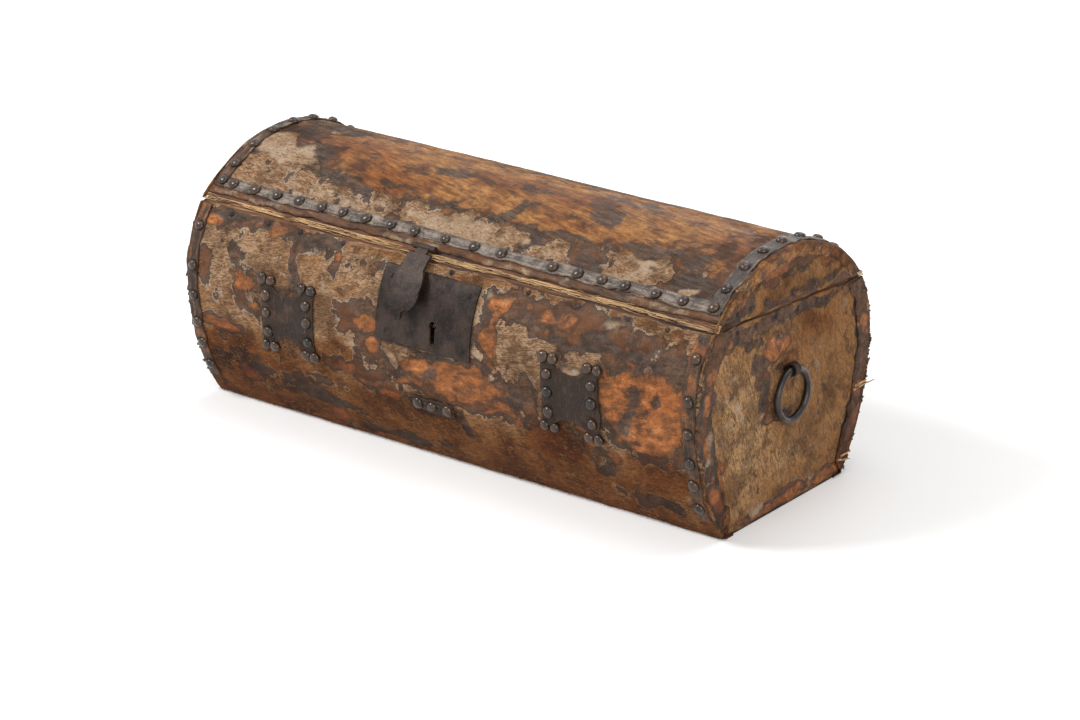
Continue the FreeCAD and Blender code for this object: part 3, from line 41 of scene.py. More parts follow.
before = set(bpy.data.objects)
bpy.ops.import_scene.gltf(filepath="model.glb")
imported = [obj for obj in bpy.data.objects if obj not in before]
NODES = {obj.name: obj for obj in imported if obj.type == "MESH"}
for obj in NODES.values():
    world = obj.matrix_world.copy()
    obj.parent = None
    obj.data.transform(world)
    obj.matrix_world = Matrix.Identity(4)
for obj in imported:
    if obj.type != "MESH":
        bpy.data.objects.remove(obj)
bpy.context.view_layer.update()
MM = 0.001


def linear(text):
    """A colour written as sRGB hex, as linear RGBA: each channel c turns to ((c + 0.055) / 1.055) ** 2.4,
    or c / 12.92 where it is very dark."""
    channels = [int(text[i:i + 2], 16) / 255 for i in (1, 3, 5)]
    return [((c + 0.055) / 1.055) ** 2.4 if c > 0.04045 else c / 12.92 for c in channels] + [1.0]


def size(name, description, millimetres):
    """A length that a user can change, given in millimetres and kept in metres."""
    return FloatProperty(name=name, description=description, default=millimetres * MM, unit="LENGTH")


def tint(name, description, text):
    """A colour that a user can change, given as sRGB hex."""
    return FloatVectorProperty(name=name, description=description, size=4, subtype="COLOR",
                               min=0.0, max=1.0, default=linear(text))


class TravelBoxSizes(bpy.types.PropertyGroup):
    """The sizes that the skins and fittings follow."""
    length: size("Length", "End to end over the hide", 620.0)
    belly_half_depth: size("Belly", "Half the depth at the widest line", 142.5)
    belly_height: size("Belly height", "Height of the widest line", 135.0)
    floor_half_depth: size("Floor", "Half the depth of the flat underside", 98.5)
    crown_rise: size("Crown rise", "Height of the crown above the widest line", 123.0)
    crown_turn: FloatProperty(name="Crown turn", default=0.63829, subtype="FACTOR",
                              description="How far out, as a share, the crown runs into the shoulder")
    seam_height: size("Seam height", "Height of the lid seam under the middle of the crown", 201.6)
    seam_slope: FloatProperty(name="Seam slope", default=-0.055439,
                              description="Rise of the seam for each metre towards the back")
    hide_thick: size("Hide", "Thickness of the hide", 1.6)
    leather_thick: size("Leather", "Thickness of the edging and patches", 1.5)
    body_fold: size("Body fold", "How far the body hide folds over the ends", 22.0)
    lid_fold: size("Lid fold", "How far the lid hide folds over its ends", 12.0)
    corner_round: size("Corner", "How softly the hide turns over an edge", 2.6)
    grid: size("Grid", "Spacing of the mesh on the hides", 2.3)
    stud_width: size("Stud", "Diameter of a domed stud", 11.0)
    stud_rise: size("Stud rise", "Height of the dome", 4.4)
    tack_width: size("Tack", "Diameter of a small nail's head", 5.6)
    tack_rise: size("Tack rise", "Height of that head", 1.7)


class TravelBoxColours(bpy.types.PropertyGroup):
    """The colours of its surfaces."""
    fur: tint("Fur", "Hair left on the upper body", "#ac8c6d")
    fur_low: tint("Fur, low", "The browner hair lower down", "#a07041")
    fur_gold: tint("Fur, golden", "The yellower hair of the ends", "#c0986a")
    fur_dark: tint("Fur, dark", "Roots and shadow between the hairs", "#47311f")
    fur_mid: tint("Fur, middle", "Hair in its own shadow", "#6d4f38")
    fur_pale: tint("Fur, pale", "Dusty pale hair and the rims of a worn place", "#ab9b88")
    skin: tint("Skin", "Bare grey-brown skin", "#6d5140")
    skin_dark: tint("Skin, dark", "The darkest stains", "#2f221a")
    slate: tint("Skin, slate", "Blue-grey bloom along the edge of a worn place", "#514843")
    rust: tint("Raw hide", "Orange raw hide where the grain is gone", "#ae6733")
    rust_gold: tint("Raw hide, golden", "Browner raw hide on top of the lid", "#a97641")
    rust_deep: tint("Raw hide, deep", "Red-brown raw hide", "#6b4122")
    rust_pale: tint("Raw hide, pale", "Rubbed pale raw hide", "#ca925a")
    # This filter colour darkens wherever the shade layer asks: dirt and painted shade both.
    grime: tint("Grime", "What handling and damp leave, as a filter over the rest", "#c9ac8c")
    edging: tint("Edging", "Grey-brown edging leather", "#7d6e61")
    corner: tint("Corner leather", "Browner leather of the corner strips", "#55402f")
    patch: tint("Patch", "Dark leather of the studded patches", "#241a13")
    iron: tint("Iron", "Forged iron", "#3a2e28")
    iron_dark: tint("Iron, dark", "Scale and soot in its hollows", "#16110f")
    iron_rust: tint("Iron, rust", "Brown rust on the iron", "#5a3d2a")
    board: tint("Board", "Weathered softwood", "#8c5b3b")
    board_raw: tint("Board, raw", "Raw split wood and straw-like fibre", "#cfab7c")


# The outline of the barrel.
class Section:
    """The cross-section as a path: a flat floor, a side arc, a shoulder arc and a crown arc, mirrored at
    the back. A place on it is its way: metres round it from the front bottom corner."""
    TRIALS = 3000  # places that are tried where a way is looked up

    def __init__(self, s):
        self.sizes = s
        swell = s.belly_half_depth - s.floor_half_depth
        self.side_radius = (swell ** 2 + s.belly_height ** 2) / (2 * swell)
        out, up = s.crown_turn, math.sqrt(1 - s.crown_turn ** 2)
        spare = 1 - out - up
        self.shoulder_radius = (s.belly_half_depth * (1 - up) - out * s.crown_rise) / spare
        self.crown_radius = ((1 - out) * s.crown_rise - up * s.belly_half_depth) / spare
        self.crown_centre = s.belly_height + s.crown_rise - self.crown_radius
        self.turn = math.acos(out)
        self.belly = self.side_radius * math.asin(s.belly_height / self.side_radius)
        self.shoulder = self.belly + self.shoulder_radius * self.turn
        self.apex = self.shoulder + self.crown_radius * (math.pi / 2 - self.turn)

    def sharp(self, way):
        """Point and normal: on each arc, centre plus radius times (cos, sin) of the angle run through."""
        s = self.sizes
        half = np.where(way > self.apex, 2 * self.apex - way, way)
        side = np.where(way > self.apex, 1.0, -1.0)
        zones = [half < 0, half < self.belly, half < self.shoulder]
        past = half - self.belly
        angle = np.select(zones, [-math.pi / 2 + 0 * half, past / self.side_radius,
                                  past / self.shoulder_radius],
                          self.turn + (half - self.shoulder) / self.crown_radius)
        radius = np.select(zones, [0.0, self.side_radius, self.shoulder_radius], self.crown_radius)
        centre = np.select(zones, [s.floor_half_depth + half, s.belly_half_depth - self.side_radius,
                                   s.belly_half_depth - self.shoulder_radius], 0.0)
        middle = np.select(zones, [0.0, s.belly_height, s.belly_height], self.crown_centre)
        out, up = np.cos(angle), np.sin(angle)
        return np.stack([side * (centre + radius * out), middle + radius * up, side * out, up])

    def at(self, way):
        """The same, with its corners softened: the mean of three places a corner's width apart."""
        way = np.asarray(way, float)
        soft = self.sizes.corner_round
        y, z, out, up = (self.sharp(way - soft) + 2 * self.sharp(way) + self.sharp(way + soft)) / 4
        long = np.hypot(out, up)
        return y, z, out / long, up / long

    def way_of(self, y, z):
        """The way of the outline's point that is nearest to a place."""
        ways = np.linspace(0, 2 * self.apex, self.TRIALS)
        ys, zs, _, _ = self.at(ways)
        return ways[np.argmin((ys - y) ** 2 + (zs - z) ** 2)]

    def way_above_seam(self, rise, back=False):
        """The way at which the outline is a given height above the sloping lid seam."""
        ways = np.linspace(0, self.apex, self.TRIALS)
        y, z, _, _ = self.at(ways)
        y = -y if back else y
        found = np.interp(rise, z - self.seam(y), ways)
        return 2 * self.apex - found if back else found

    def way_at_height(self, height):
        """The way at which the front of the outline is at a height."""
        ways = np.linspace(0, self.apex, self.TRIALS)
        return np.interp(height, self.at(ways)[1], ways)

    def seam(self, y):
        """Height of the lid seam at a place from front to back: a straight slope."""
        return self.sizes.seam_height + self.sizes.seam_slope * y


LATTICE = 4096  # random heights that the noise draws on, after which it repeats


def mottle(x, y, grain, seed):
    """Smooth noise from -1 to 1: random heights on a square lattice of the given grain, joined by
    3t2 - 2t3 steps both ways."""
    heights = np.random.default_rng(seed).uniform(-1, 1, LATTICE)
    gx, gy = np.broadcast_arrays(x / grain, y / grain)
    ix, iy = np.floor(gx).astype(int), np.floor(gy).astype(int)
    fx, fy = (f * f * (3 - 2 * f) for f in (gx - ix, gy - iy))
    row = [heights[((ix + a) * 73 + (iy + b) * 1021) % LATTICE] for b in (0, 1) for a in (0, 1)]
    low, high = row[0] + (row[1] - row[0]) * fx, row[2] + (row[3] - row[2]) * fx
    return low + (high - low) * fy


def step(t):
    """3t2 - 2t3 between 0 and 1, level outside."""
    t = np.clip(t, 0, 1)
    return t * t * (3 - 2 * t)


PAINT_SEED = 70


def paint(x, y, ground, strokes):
    """Lays soft oval strokes, in millimetres, over a ground value. Each is (x, y, half width, half height,
    turn in degrees, value): the field goes to the value inside half its size and has faded back at one and a
    half. Noise of 28 and 9 mm first moves every place by some millimetres, so that no outline stays oval."""
    field = np.full(x.shape, float(ground))
    x, y = ((a + (7 * mottle(x, y, 28 * MM, seed) + 3 * mottle(x, y, 9 * MM, seed + 2)) * MM) / MM
            for seed, a in enumerate((x, y), PAINT_SEED))
    for cx, cy, wide, tall, turn, value in strokes:
        c, s = math.cos(math.radians(turn)), math.sin(math.radians(turn))
        across = ((x - cx) * c + (y - cy) * s) / wide
        along = ((y - cy) * c - (x - cx) * s) / tall
        field += (value - field) * step(1.5 - np.hypot(across, along))
    return field


# Meshes.
def solid(name, shape, finish, body, replaced=(), thick=0.0):
    """A mesh object from a shape, its points, faces and painted layers. It rides on a body and stands for CAD
    nodes. A sheet also gets its thickness, inwards from the face that shows."""
    points, faces, layers = shape
    mesh = bpy.data.meshes.new(name)
    mesh.from_pydata(np.asarray(points).reshape(-1, 3).tolist(), [], faces)
    for key, values in layers.items():
        layer = mesh.attributes.new(key, "FLOAT", "POINT")
        layer.data.foreach_set("value", np.asarray(values, np.float32).ravel())
    mesh.polygons.foreach_set("use_smooth", np.ones(len(mesh.polygons), bool))
    mesh.materials.append(finish_of(finish))
    mesh.update()
    piece = bpy.data.objects.new(name, mesh)
    bpy.context.scene.collection.objects.link(piece)
    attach(piece, body)
    if replaced:
        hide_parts(*replaced)
    if thick:
        wall = piece.modifiers.new("thickness", "SOLIDIFY")
        wall.thickness = thick
        wall.offset = -1.0
        wall.use_even_offset = False


def quads(rows, columns, round_rows=False, round_columns=False, start=0, flip=False):
    """The faces of a grid of points, row by row, joined up round either way if asked."""
    r = np.arange(rows if round_rows else rows - 1)[:, None]
    c = np.arange(columns if round_columns else columns - 1)[None, :]
    r1, c1 = (r + 1) % rows, (c + 1) % columns
    loop = [r * columns + c, r * columns + c1, r1 * columns + c1, r1 * columns + c]
    loop = np.stack([a + 0 * (r + c) for a in loop], -1).reshape(-1, 4) + start
    return (loop[:, ::-1] if flip else loop).tolist()


def copies(faces, count, points):
    """The same faces for each of a number of copies of a shape, whose points follow each other."""
    faces = np.asarray(faces)
    return (faces + points * np.arange(count)[:, None, None]).reshape(-1, faces.shape[1]).tolist()


# Materials.
# The kinds of node, by a short word: Blender's own name, settings, the sockets that values go to in their
# order, and the output that is used unless another is asked for.
NODE_KINDS = {
    "object place": ("TexCoord", {}, (), "Object"),
    "layer": ("Attribute", {}, (), "Fac"),
    "turned": ("Mapping", {}, ("Vector", "Rotation"), 0),
    "stretched": ("Mapping", {}, ("Vector", "Scale"), 0),
    "noise": ("TexNoise", {"noise_dimensions": "4D"}, ("Vector", "Scale", "Detail", "Roughness", "W"), "Fac"),
    "crazing": ("TexVoronoi", {"feature": "DISTANCE_TO_EDGE"}, ("Vector", "Scale"), 0),
    "dents": ("TexVoronoi", {"feature": "SMOOTH_F1"}, ("Vector", "Scale"), 0),
    "channels": ("SeparateColor", {}, (0,), 0),
    "axes": ("SeparateXYZ", {}, (0,), 0),
    "place": ("CombineXYZ", {}, (0, 1), 0),
    "distance": ("VectorMath", {"operation": "LENGTH"}, (0,), "Value"),
    "range": ("MapRange", {"interpolation_type": "SMOOTHSTEP"}, (0, 1, 2, 3, 4), 0),
    "mix": ("Mix", {"data_type": "RGBA"}, (0, 6, 7), 2),
    "filter": ("Mix", {"data_type": "RGBA", "blend_type": "MULTIPLY"}, (0, 6, 7), 2),
    "bump": ("Bump", {}, ("Height", "Strength", "Distance"), 0),
    "light path": ("LightPath", {}, (), 0),
    "background": ("Background", {}, ("Color", "Strength"), 0),
    "mix shaders": ("MixShader", {}, (0, 1, 2), 0),
}
NODE_KINDS.update({operation: ("Math", {"operation": operation}, (0, 1, 2), 0) for operation in (
    "ADD", "SUBTRACT", "MULTIPLY", "MULTIPLY_ADD", "MAXIMUM", "ABSOLUTE")})


def join(node, sockets):
    """Sets a node's sockets, by name or number: another node's output is linked, any other value is set."""
    for key, value in sockets.items():
        if isinstance(value, bpy.types.NodeSocket):
            node.id_data.links.new(value, node.inputs[key])
        else:
            node.inputs[key].default_value = value


def put(tree, word, *values, out=None, **settings):
    """Adds a node of one of the kinds above with its settings and links, and gives one of its outputs."""
    kind, fixed, sockets, output = NODE_KINDS[word]
    made = tree.nodes.new("ShaderNode" + kind)
    for key, value in {**fixed, **settings}.items():
        setattr(made, key, value)
    join(made, dict(zip(sockets, values)))
    return made.outputs[output if out is None else out]


def per_mm(width):
    """The scale at which a pattern's largest features are as wide as a real size in millimetres."""
    return 1 / (width * MM)


def wash(tree, base, colour, value, low, high, most=1.0, least=0.0):
    """Lays a colour over a base, from the least share where a value is low to the most where it is high."""
    return put(tree, "mix", put(tree, "range", value, low, high, least, most), base, colour)


def rim_of(tree, value, middle, near, far, most):
    """A band along the line where a value passes its middle: the most there, and nothing far from it."""
    away = put(tree, "ABSOLUTE", put(tree, "ADD", value, -middle))
    return put(tree, "range", away, near, far, most, 0.0)


def blank(name):
    """A new material: itself, its tree, its surface shader and the place on the object."""
    material = bpy.data.materials.new(name)
    material.use_nodes = True
    tree = material.node_tree
    return material, tree, tree.nodes["Principled BSDF"], put(tree, "object place")


def worn_hide(name, c, coat_key, raw_key, fibre_mm, streak, lie, turn, gold):
    """Hair-on calfskin, rubbed bare in places: the hair is dull and stippled, the bare skin is smoother and
    greyer, the raw hide under the grain is orange and fibrous, and pale broken hair with a slate bloom
    beside it runs round many of the worn places. Painted layers say where, and noise tears their edges. The
    lie stretches the hair along the box or down its ends, the turn slants it, and the streak draws out the
    fibres of the raw hide, which are as wide as fibre_mm. Gold warms the coat and softens its edges."""
    material, tree, shader, where = blank(name)
    laid = put(tree, "turned", where, turn)
    layers = {key: put(tree, "layer", attribute_name=key) for key in ("fur", "rust", "dark", "pale", "shade")}
    clouds = (put(tree, "noise", where, per_mm(wide), 4, rough, seed, out="Color")
              for wide, rough, seed in ((20, 0.55, 0), (4.5, 0.6, 3), (42, 0.62, 2)))
    tear, nick, cloud = (put(tree, "channels", three).node.outputs for three in clouds)

    def torn(key, channel, soft):
        """A layer's value once noise has moved its edge, and where that is above nought."""
        coarse = put(tree, "MULTIPLY_ADD", tear[channel], 4.6, -2.3)
        fine = put(tree, "MULTIPLY_ADD", nick[channel], 0.8, -0.4)
        value = put(tree, "ADD", layers[key], put(tree, "ADD", coarse, fine))
        return value, put(tree, "range", value, -soft, soft)

    fur_value, fur_mask = torn("fur", 0, 0.07 + 0.4 * gold)
    rust_value, rust_mask = torn("rust", 1, 0.32)
    dark_mask = torn("dark", 2, 0.4)[1]
    pale_mask = torn("pale", 0, 0.5)[1]

    # Strokes of hair 1 mm wide and 5 mm long, with tufts three times as large: some times the width of a
    # real hair, because finer ones are lost in the render.
    hair = put(tree, "noise", put(tree, "stretched", laid, lie), per_mm(1.1), 2, 0.6, 1)
    tuft = put(tree, "noise", put(tree, "stretched", laid, lie), per_mm(3.4), 3, 0.6, 9)
    stipple = put(tree, "noise", where, per_mm(1.3), 1, 0.5, 5)
    # Fibres of the raw hide, drawn out along the box, and the stains that follow them.
    fibre = put(tree, "noise", put(tree, "stretched", laid, (streak, 1, 1)), per_mm(fibre_mm), 6, 0.7, 4)
    stain = put(tree, "noise", put(tree, "stretched", laid, (max(streak, 0.4), 1, 1)), per_mm(15), 5, 0.65, 8)

    # The coat: pale tips over roots in their own shadow, browner where the shade layer is high (low down,
    # with its dirt and painted shade), with darker clouds and nicks.
    strokes = put(tree, "MULTIPLY_ADD", tuft, 0.34, put(tree, "MULTIPLY", stipple, 0.16))
    strokes = put(tree, "MULTIPLY_ADD", hair, 0.5, strokes)
    tips = put(tree, "range", strokes, 0.42, 0.58)
    low = put(tree, "MULTIPLY_ADD", cloud[0], 1.2, layers["shade"])
    upper = wash(tree, c[coat_key], c["fur_low"], low, 0.55 - gold, 1.05 - gold)
    under = put(tree, "mix", 0.3 * gold, c["fur_mid"], c["fur_low"])
    coat = put(tree, "mix", tips, under, upper)
    coat = wash(tree, coat, c["fur_dark"], cloud[1], 0.46, 0.64, 0.55)
    coat = wash(tree, coat, c["fur_dark"], nick[1], 0.56, 0.7, 0.45)
    # Bare skin, with red-brown and slate clouds.
    bare = wash(tree, c["skin_dark"], c["skin"], fibre, 0.34, 0.64)
    bare = wash(tree, bare, c["rust_deep"], cloud[2], 0.42, 0.6, 0.65)
    bare = wash(tree, bare, c["slate"], tear[1], 0.52, 0.66, 0.5)
    # Raw hide, rubbed pale, with the last hairs, stains and scratches on it, and deeper towards its edge.
    raw = c["rust_deep"]
    for colour, value, start, end, most, least in (
            (raw_key, fibre, 0.36, 0.58, 1.0, 0.0), ("rust_pale", fibre, 0.54, 0.7, 1.0, 0.0),
            ("fur_dark", strokes, 0.46, 0.36, 0.5, 0.0), ("skin_dark", stain, 0.52, 0.63, 0.85, 0.0),
            ("rust_deep", nick[2], 0.53, 0.67, 0.65, 0.0), ("fur_dark", tear[2], 0.57, 0.68, 0.6, 0.0),
            ("rust_deep", rust_value, 0.0, 1.1, 0.0, 0.6)):
        raw = wash(tree, raw, c[colour], value, start, end, most, least)
    dusty = put(tree, "mix", tips, c["fur"], c["fur_pale"])
    dusty = wash(tree, dusty, coat, cloud[2], 0.46, 0.6, 0.6)

    # Coat over skin, a pale rim and a slate bloom along its edge, then raw hide, dark stains and dusty hair.
    colour = put(tree, "mix", fur_mask, bare, coat)
    patchy = put(tree, "range", cloud[0], 0.4, 0.62)
    rim = rim_of(tree, fur_value, 0.12, 0.04, 0.15, 0.85 - 0.9 * gold)
    colour = put(tree, "mix", put(tree, "MULTIPLY", rim, patchy), colour, c["fur_pale"])
    bloom = rim_of(tree, fur_value, -0.18, 0.04, 0.3, 0.7 - 0.8 * gold)
    colour = put(tree, "mix", bloom, colour, put(tree, "mix", patchy, c["skin_dark"], c["slate"]))
    colour = put(tree, "mix", rust_mask, colour, raw)
    colour = put(tree, "mix", rim_of(tree, rust_value, -0.1, 0.04, 0.4, 0.5), colour, c["skin_dark"])
    stained_skin = wash(tree, c["skin_dark"], c["slate"], fibre, 0.4, 0.66)
    colour = put(tree, "mix", put(tree, "MULTIPLY", dark_mask, 0.85), colour, stained_skin)
    colour = put(tree, "mix", pale_mask, colour, dusty)
    fleck = put(tree, "noise", where, per_mm(1.7), 3, 0.75, 6)
    colour = wash(tree, colour, c["fur_dark"], fleck, 0.47, 0.36, 0.45)
    colour = wash(tree, colour, c["fur_pale"], fleck, 0.56, 0.66, 0.18)
    # Dirt and painted shade together where the shade layer asks for it, in two steps: soot is that darkening,
    # and the filter colour tints both.
    soot = put(tree, "MULTIPLY_ADD", cloud[1], 1.1, put(tree, "SUBTRACT", layers["shade"], 0.55))
    for start, end in ((0.0, 0.5), (0.35, 1.0)):
        colour = wash(tree, colour, put(tree, "filter", 1.0, colour, c["grime"]), soot, start, end)

    hairy = put(tree, "MAXIMUM", fur_mask, pale_mask)
    relief = put(tree, "MULTIPLY", strokes, put(tree, "MULTIPLY_ADD", hairy, 0.8, 0.12))
    for value, share in ((fibre, 0.4), (tear[0], 0.5), (hairy, 0.35)):
        relief = put(tree, "MULTIPLY_ADD", value, share, relief)
    join(shader, {
        "Base Color": colour, "IOR": 1.42, "Specular IOR Level": 0.3,
        "Roughness": put(tree, "range", put(tree, "SUBTRACT", hairy, rust_mask), -1.0, 1.0, 0.55, 0.9),
        "Normal": put(tree, "bump", relief, 1.0, 1.8 * MM)})
    return material


def worn_leather(name, c, colour_key, pale_key, rim_key, rough, wear, gloss):
    """Vegetable-tanned leather, dried out and rubbed: streaked along its length, cracked across, sooty in
    the dish round each nail, scuffed pale on the high places and torn to lighter fibre along its rim. Wear
    says how much is scuffed, and gloss how much of the old polish is left."""
    material, tree, shader, where = blank(name)
    layers = {key: put(tree, "layer", attribute_name=key) for key in ("edge", "along", "over", "dish")}
    dark, pale = c["skin_dark"], c[pale_key]
    laid = put(tree, "place", put(tree, "MULTIPLY", layers["along"], 0.1), layers["over"])
    streak = put(tree, "noise", laid, per_mm(3.2), 4, 0.6)
    cloud = put(tree, "noise", where, per_mm(16), 5, 0.65)
    grain = put(tree, "noise", where, per_mm(1.6), 3, 0.6, 2)
    crack = put(tree, "range", put(tree, "crazing", where, per_mm(7)), 0.0, 0.07)
    base = wash(tree, dark, c[colour_key], put(tree, "ADD", cloud, streak), 0.84, 1.14)
    rubbed = put(tree, "ADD", streak, put(tree, "MULTIPLY", grain, 0.4))
    base = wash(tree, base, pale, rubbed, 0.74, 0.9, 0.7)
    base = wash(tree, base, dark, streak, 0.44, 0.34, 0.8)
    base = wash(tree, base, pale, put(tree, "noise", where, per_mm(34), 4, 0.6, 5), 0.52, 0.64, wear)
    torn = put(tree, "ADD", layers["edge"], put(tree, "MULTIPLY_ADD", cloud, 1.0, -0.5))
    base = wash(tree, base, c[rim_key], torn, 0.84, 1.06, 0.6)
    base = put(tree, "mix", put(tree, "MULTIPLY_ADD", crack, -0.4, 0.4), base, dark)
    base = put(tree, "mix", put(tree, "MULTIPLY", layers["dish"], 0.8), base, dark)
    height = put(tree, "MULTIPLY_ADD", crack, 0.35, put(tree, "MULTIPLY_ADD", streak, 1.2, grain))
    join(shader, {
        "Base Color": base, "Specular IOR Level": gloss,
        "Roughness": put(tree, "range", grain, 0.3, 0.7, rough, rough + 0.22),
        "Normal": put(tree, "bump", height, 0.9, 0.8 * MM)})
    return material


def forged_iron(name, c, colour_key, rough, hammer_mm, polish):
    """Iron forged at the hearth: flat hammer marks, soot-dark hollows, brown rust in the pits and a dull
    polish where hands have rubbed it."""
    material, tree, shader, where = blank(name)
    dents = put(tree, "dents", where, per_mm(hammer_mm))
    cloud = put(tree, "noise", where, per_mm(26), 6, 0.65)
    pits = put(tree, "noise", where, per_mm(1.6), 4, 0.7, 2)
    bloom = put(tree, "noise", where, per_mm(11), 5, 0.65, 4)
    base = wash(tree, c["iron_dark"], c[colour_key], cloud, 0.38, 0.62)
    base = wash(tree, base, c["iron_rust"], bloom, 0.52, 0.66, 0.3)
    base = wash(tree, base, c["iron_rust"], pits, 0.54, 0.7, 0.7)
    base = wash(tree, base, c["iron_dark"], pits, 0.44, 0.34, 0.6)
    height = put(tree, "MULTIPLY_ADD", dents, 0.9, put(tree, "MULTIPLY", pits, 0.5))
    join(shader, {
        "Base Color": base, "Metallic": 0.25, "Specular IOR Level": 0.25, "Coat Weight": polish,
        "Coat Roughness": 0.14,
        "Roughness": put(tree, "range", put(tree, "ADD", pits, cloud), 0.7, 1.3, rough + 0.16, rough),
        "Normal": put(tree, "bump", height, 0.7, 0.8 * MM)})
    return material


def old_board(name, c, lie):
    """Softwood split and planed by hand: long grain along each board, darkened by age, and raw straw-coloured
    wood within 2.5 to 6.5 mm of the sawn seam between box and lid."""
    material, tree, shader, where = blank(name)
    s = bpy.context.scene.travel_box_sizes
    axes = put(tree, "axes", where).node.outputs
    grain = put(tree, "noise", put(tree, "stretched", where, lie), per_mm(6), 6, 0.65)
    patch = put(tree, "noise", put(tree, "stretched", where, (0.5, 1, 1)), per_mm(40), 4, 0.6, 3)
    plane = put(tree, "MULTIPLY_ADD", axes[1], s.seam_slope, s.seam_height)
    away = put(tree, "SUBTRACT", axes[2], plane)
    away = put(tree, "MAXIMUM", away, put(tree, "MULTIPLY", away, -1.0))
    away = put(tree, "MULTIPLY_ADD", patch, 10 * MM, away)
    base = wash(tree, c["skin_dark"], c["board"], grain, 0.36, 0.64)
    base = wash(tree, base, c["skin_dark"], patch, 0.45, 0.65, 0.5)
    split = wash(tree, c["board"], c["board_raw"], grain, 0.42, 0.6)
    base = wash(tree, base, split, away, 2.5 * MM, 6.5 * MM, 0.0, 0.95)
    join(shader, {"Base Color": base, "Roughness": 0.8, "Normal": put(tree, "bump", grain, 0.8, 0.8 * MM)})
    return material


def straw(name, c, pale_key, dark_key):
    """Split wood fibre and dry straw-coloured hair: streaks from pale yellow to brown along each strand."""
    material, tree, shader, where = blank(name)
    grain = put(tree, "noise", put(tree, "stretched", where, (0.12, 1, 1)), per_mm(5), 4, 0.65)
    join(shader, {"Base Color": wash(tree, c[dark_key], c[pale_key], grain, 0.36, 0.56), "Roughness": 0.7,
                  "Normal": put(tree, "bump", grain, 0.6, 0.5 * MM)})
    return material


# Each finish by name: who makes it, the colours it takes and its own numbers, in the maker's order.
FINISHES = {
    "hair_on_hide_body": (worn_hide, "fur", "rust", 8, 0.45, (0.24, 1, 1), (0, 0.2, 0), 0.0),
    "hair_on_hide_lid": (worn_hide, "fur", "rust_gold", 4.5, 0.2, (0.24, 1, 1), (0, 0, 0.22), 0.0),
    "hair_on_hide_ends": (worn_hide, "fur_gold", "rust", 8, 1.0, (1, 1, 0.3), (-0.4, 0, 0), 0.5),
    "edging_leather_rubbed": (worn_leather, "edging", "fur_pale", "skin", 0.3, 0.3, 0.5),
    "end_edging_leather_torn": (worn_leather, "slate", "rust_deep", "fur_pale", 0.32, 0.3, 0.45),
    "corner_leather_rubbed": (worn_leather, "corner", "rust", "fur_dark", 0.36, 0.5, 0.25),
    "end_edging_hair_worn": (worn_leather, "skin", "fur_pale", "fur_dark", 0.5, 0.6, 0.25),
    "patch_leather_dark": (worn_leather, "patch", "skin", "fur_dark", 0.45, 0.3, 0.25),
    "forged_iron_plate": (forged_iron, "iron", 0.42, 9, 0.0),
    "forged_iron_nails": (forged_iron, "fur_dark", 0.26, 14, 0.5),
    "forged_iron_rings": (forged_iron, "iron", 0.22, 10, 0.3),
    "old_softwood_board": (old_board, (0.06, 1, 1)),
    "old_softwood_end_board": (old_board, (1, 0.06, 1)),
    "split_wood_straw": (straw, "board_raw", "rust_deep"),
    "loose_hair": (straw, "fur_low", "fur_dark"),
}


def finish_of(name):
    """A finish of this box by its name, made the first time it is asked for."""
    colours = bpy.context.scene.travel_box_colours
    maker, *settings = FINISHES[name]
    return bpy.data.materials.get(name) or maker(
        name, {key: getattr(colours, key)[:] for key in colours.__annotations__}, *settings)


def refinish(node, name):
    """Gives a CAD piece that stays in view one of the finishes."""
    materials = NODES[node].data.materials
    materials.clear()
    materials.append(finish_of(name))


# Painted places, as paint() takes them, in millimetres along the box and round the section from the front
# bottom corner.
FRONT_BARE = (
    (320, 110, 12, 130, 0, -0.9), (-320, 110, 12, 130, 0, -0.9), (-250, 214, 60, 9, 0, -0.9),
    (-150, 208, 26, 12, 10, -0.8), (-192, 207, 14, 9, 0, -0.8), (-174, 190, 7, 20, 8, -0.7),
    (-255, 180, 5, 16, 20, -0.5), (-120, 190, 8, 12, -10, -0.6), (-232, 152, 20, 14, 0, -0.8),
    (-288, 160, 16, 14, 0, -0.7), (-232, 128, 18, 10, 0, -0.7), (-82, 150, 30, 16, 0, -0.9),
    (-75, 125, 24, 18, 0, -0.9), (-268, 98, 34, 8, 0, -0.7), (-95, 88, 40, 9, -8, -0.8),
    (20, 108, 90, 28, 0, -0.9), (-38, 122, 22, 14, 0, 0.7), (66, 180, 12, 36, 0, -0.8),
    (86, 205, 24, 14, 0, -0.5), (160, 198, 62, 20, 0, -1.0), (205, 186, 40, 14, 0, -0.9),
    (262, 195, 36, 16, 0, -0.2), (246, 132, 52, 44, 0, -1.0), (284, 168, 16, 18, 0, -1.0),
    (112, 110, 16, 28, 0, -0.5), (-190, 58, 80, 9, 8, -0.5), (-150, 42, 44, 11, 0, -0.7),
    (-70, 16, 70, 6, 0, -0.4), (200, 62, 12, 9, 0, -0.7), (32, 62, 6, 15, 0, -0.5),
    (232, 32, 44, 12, 0, -0.6))
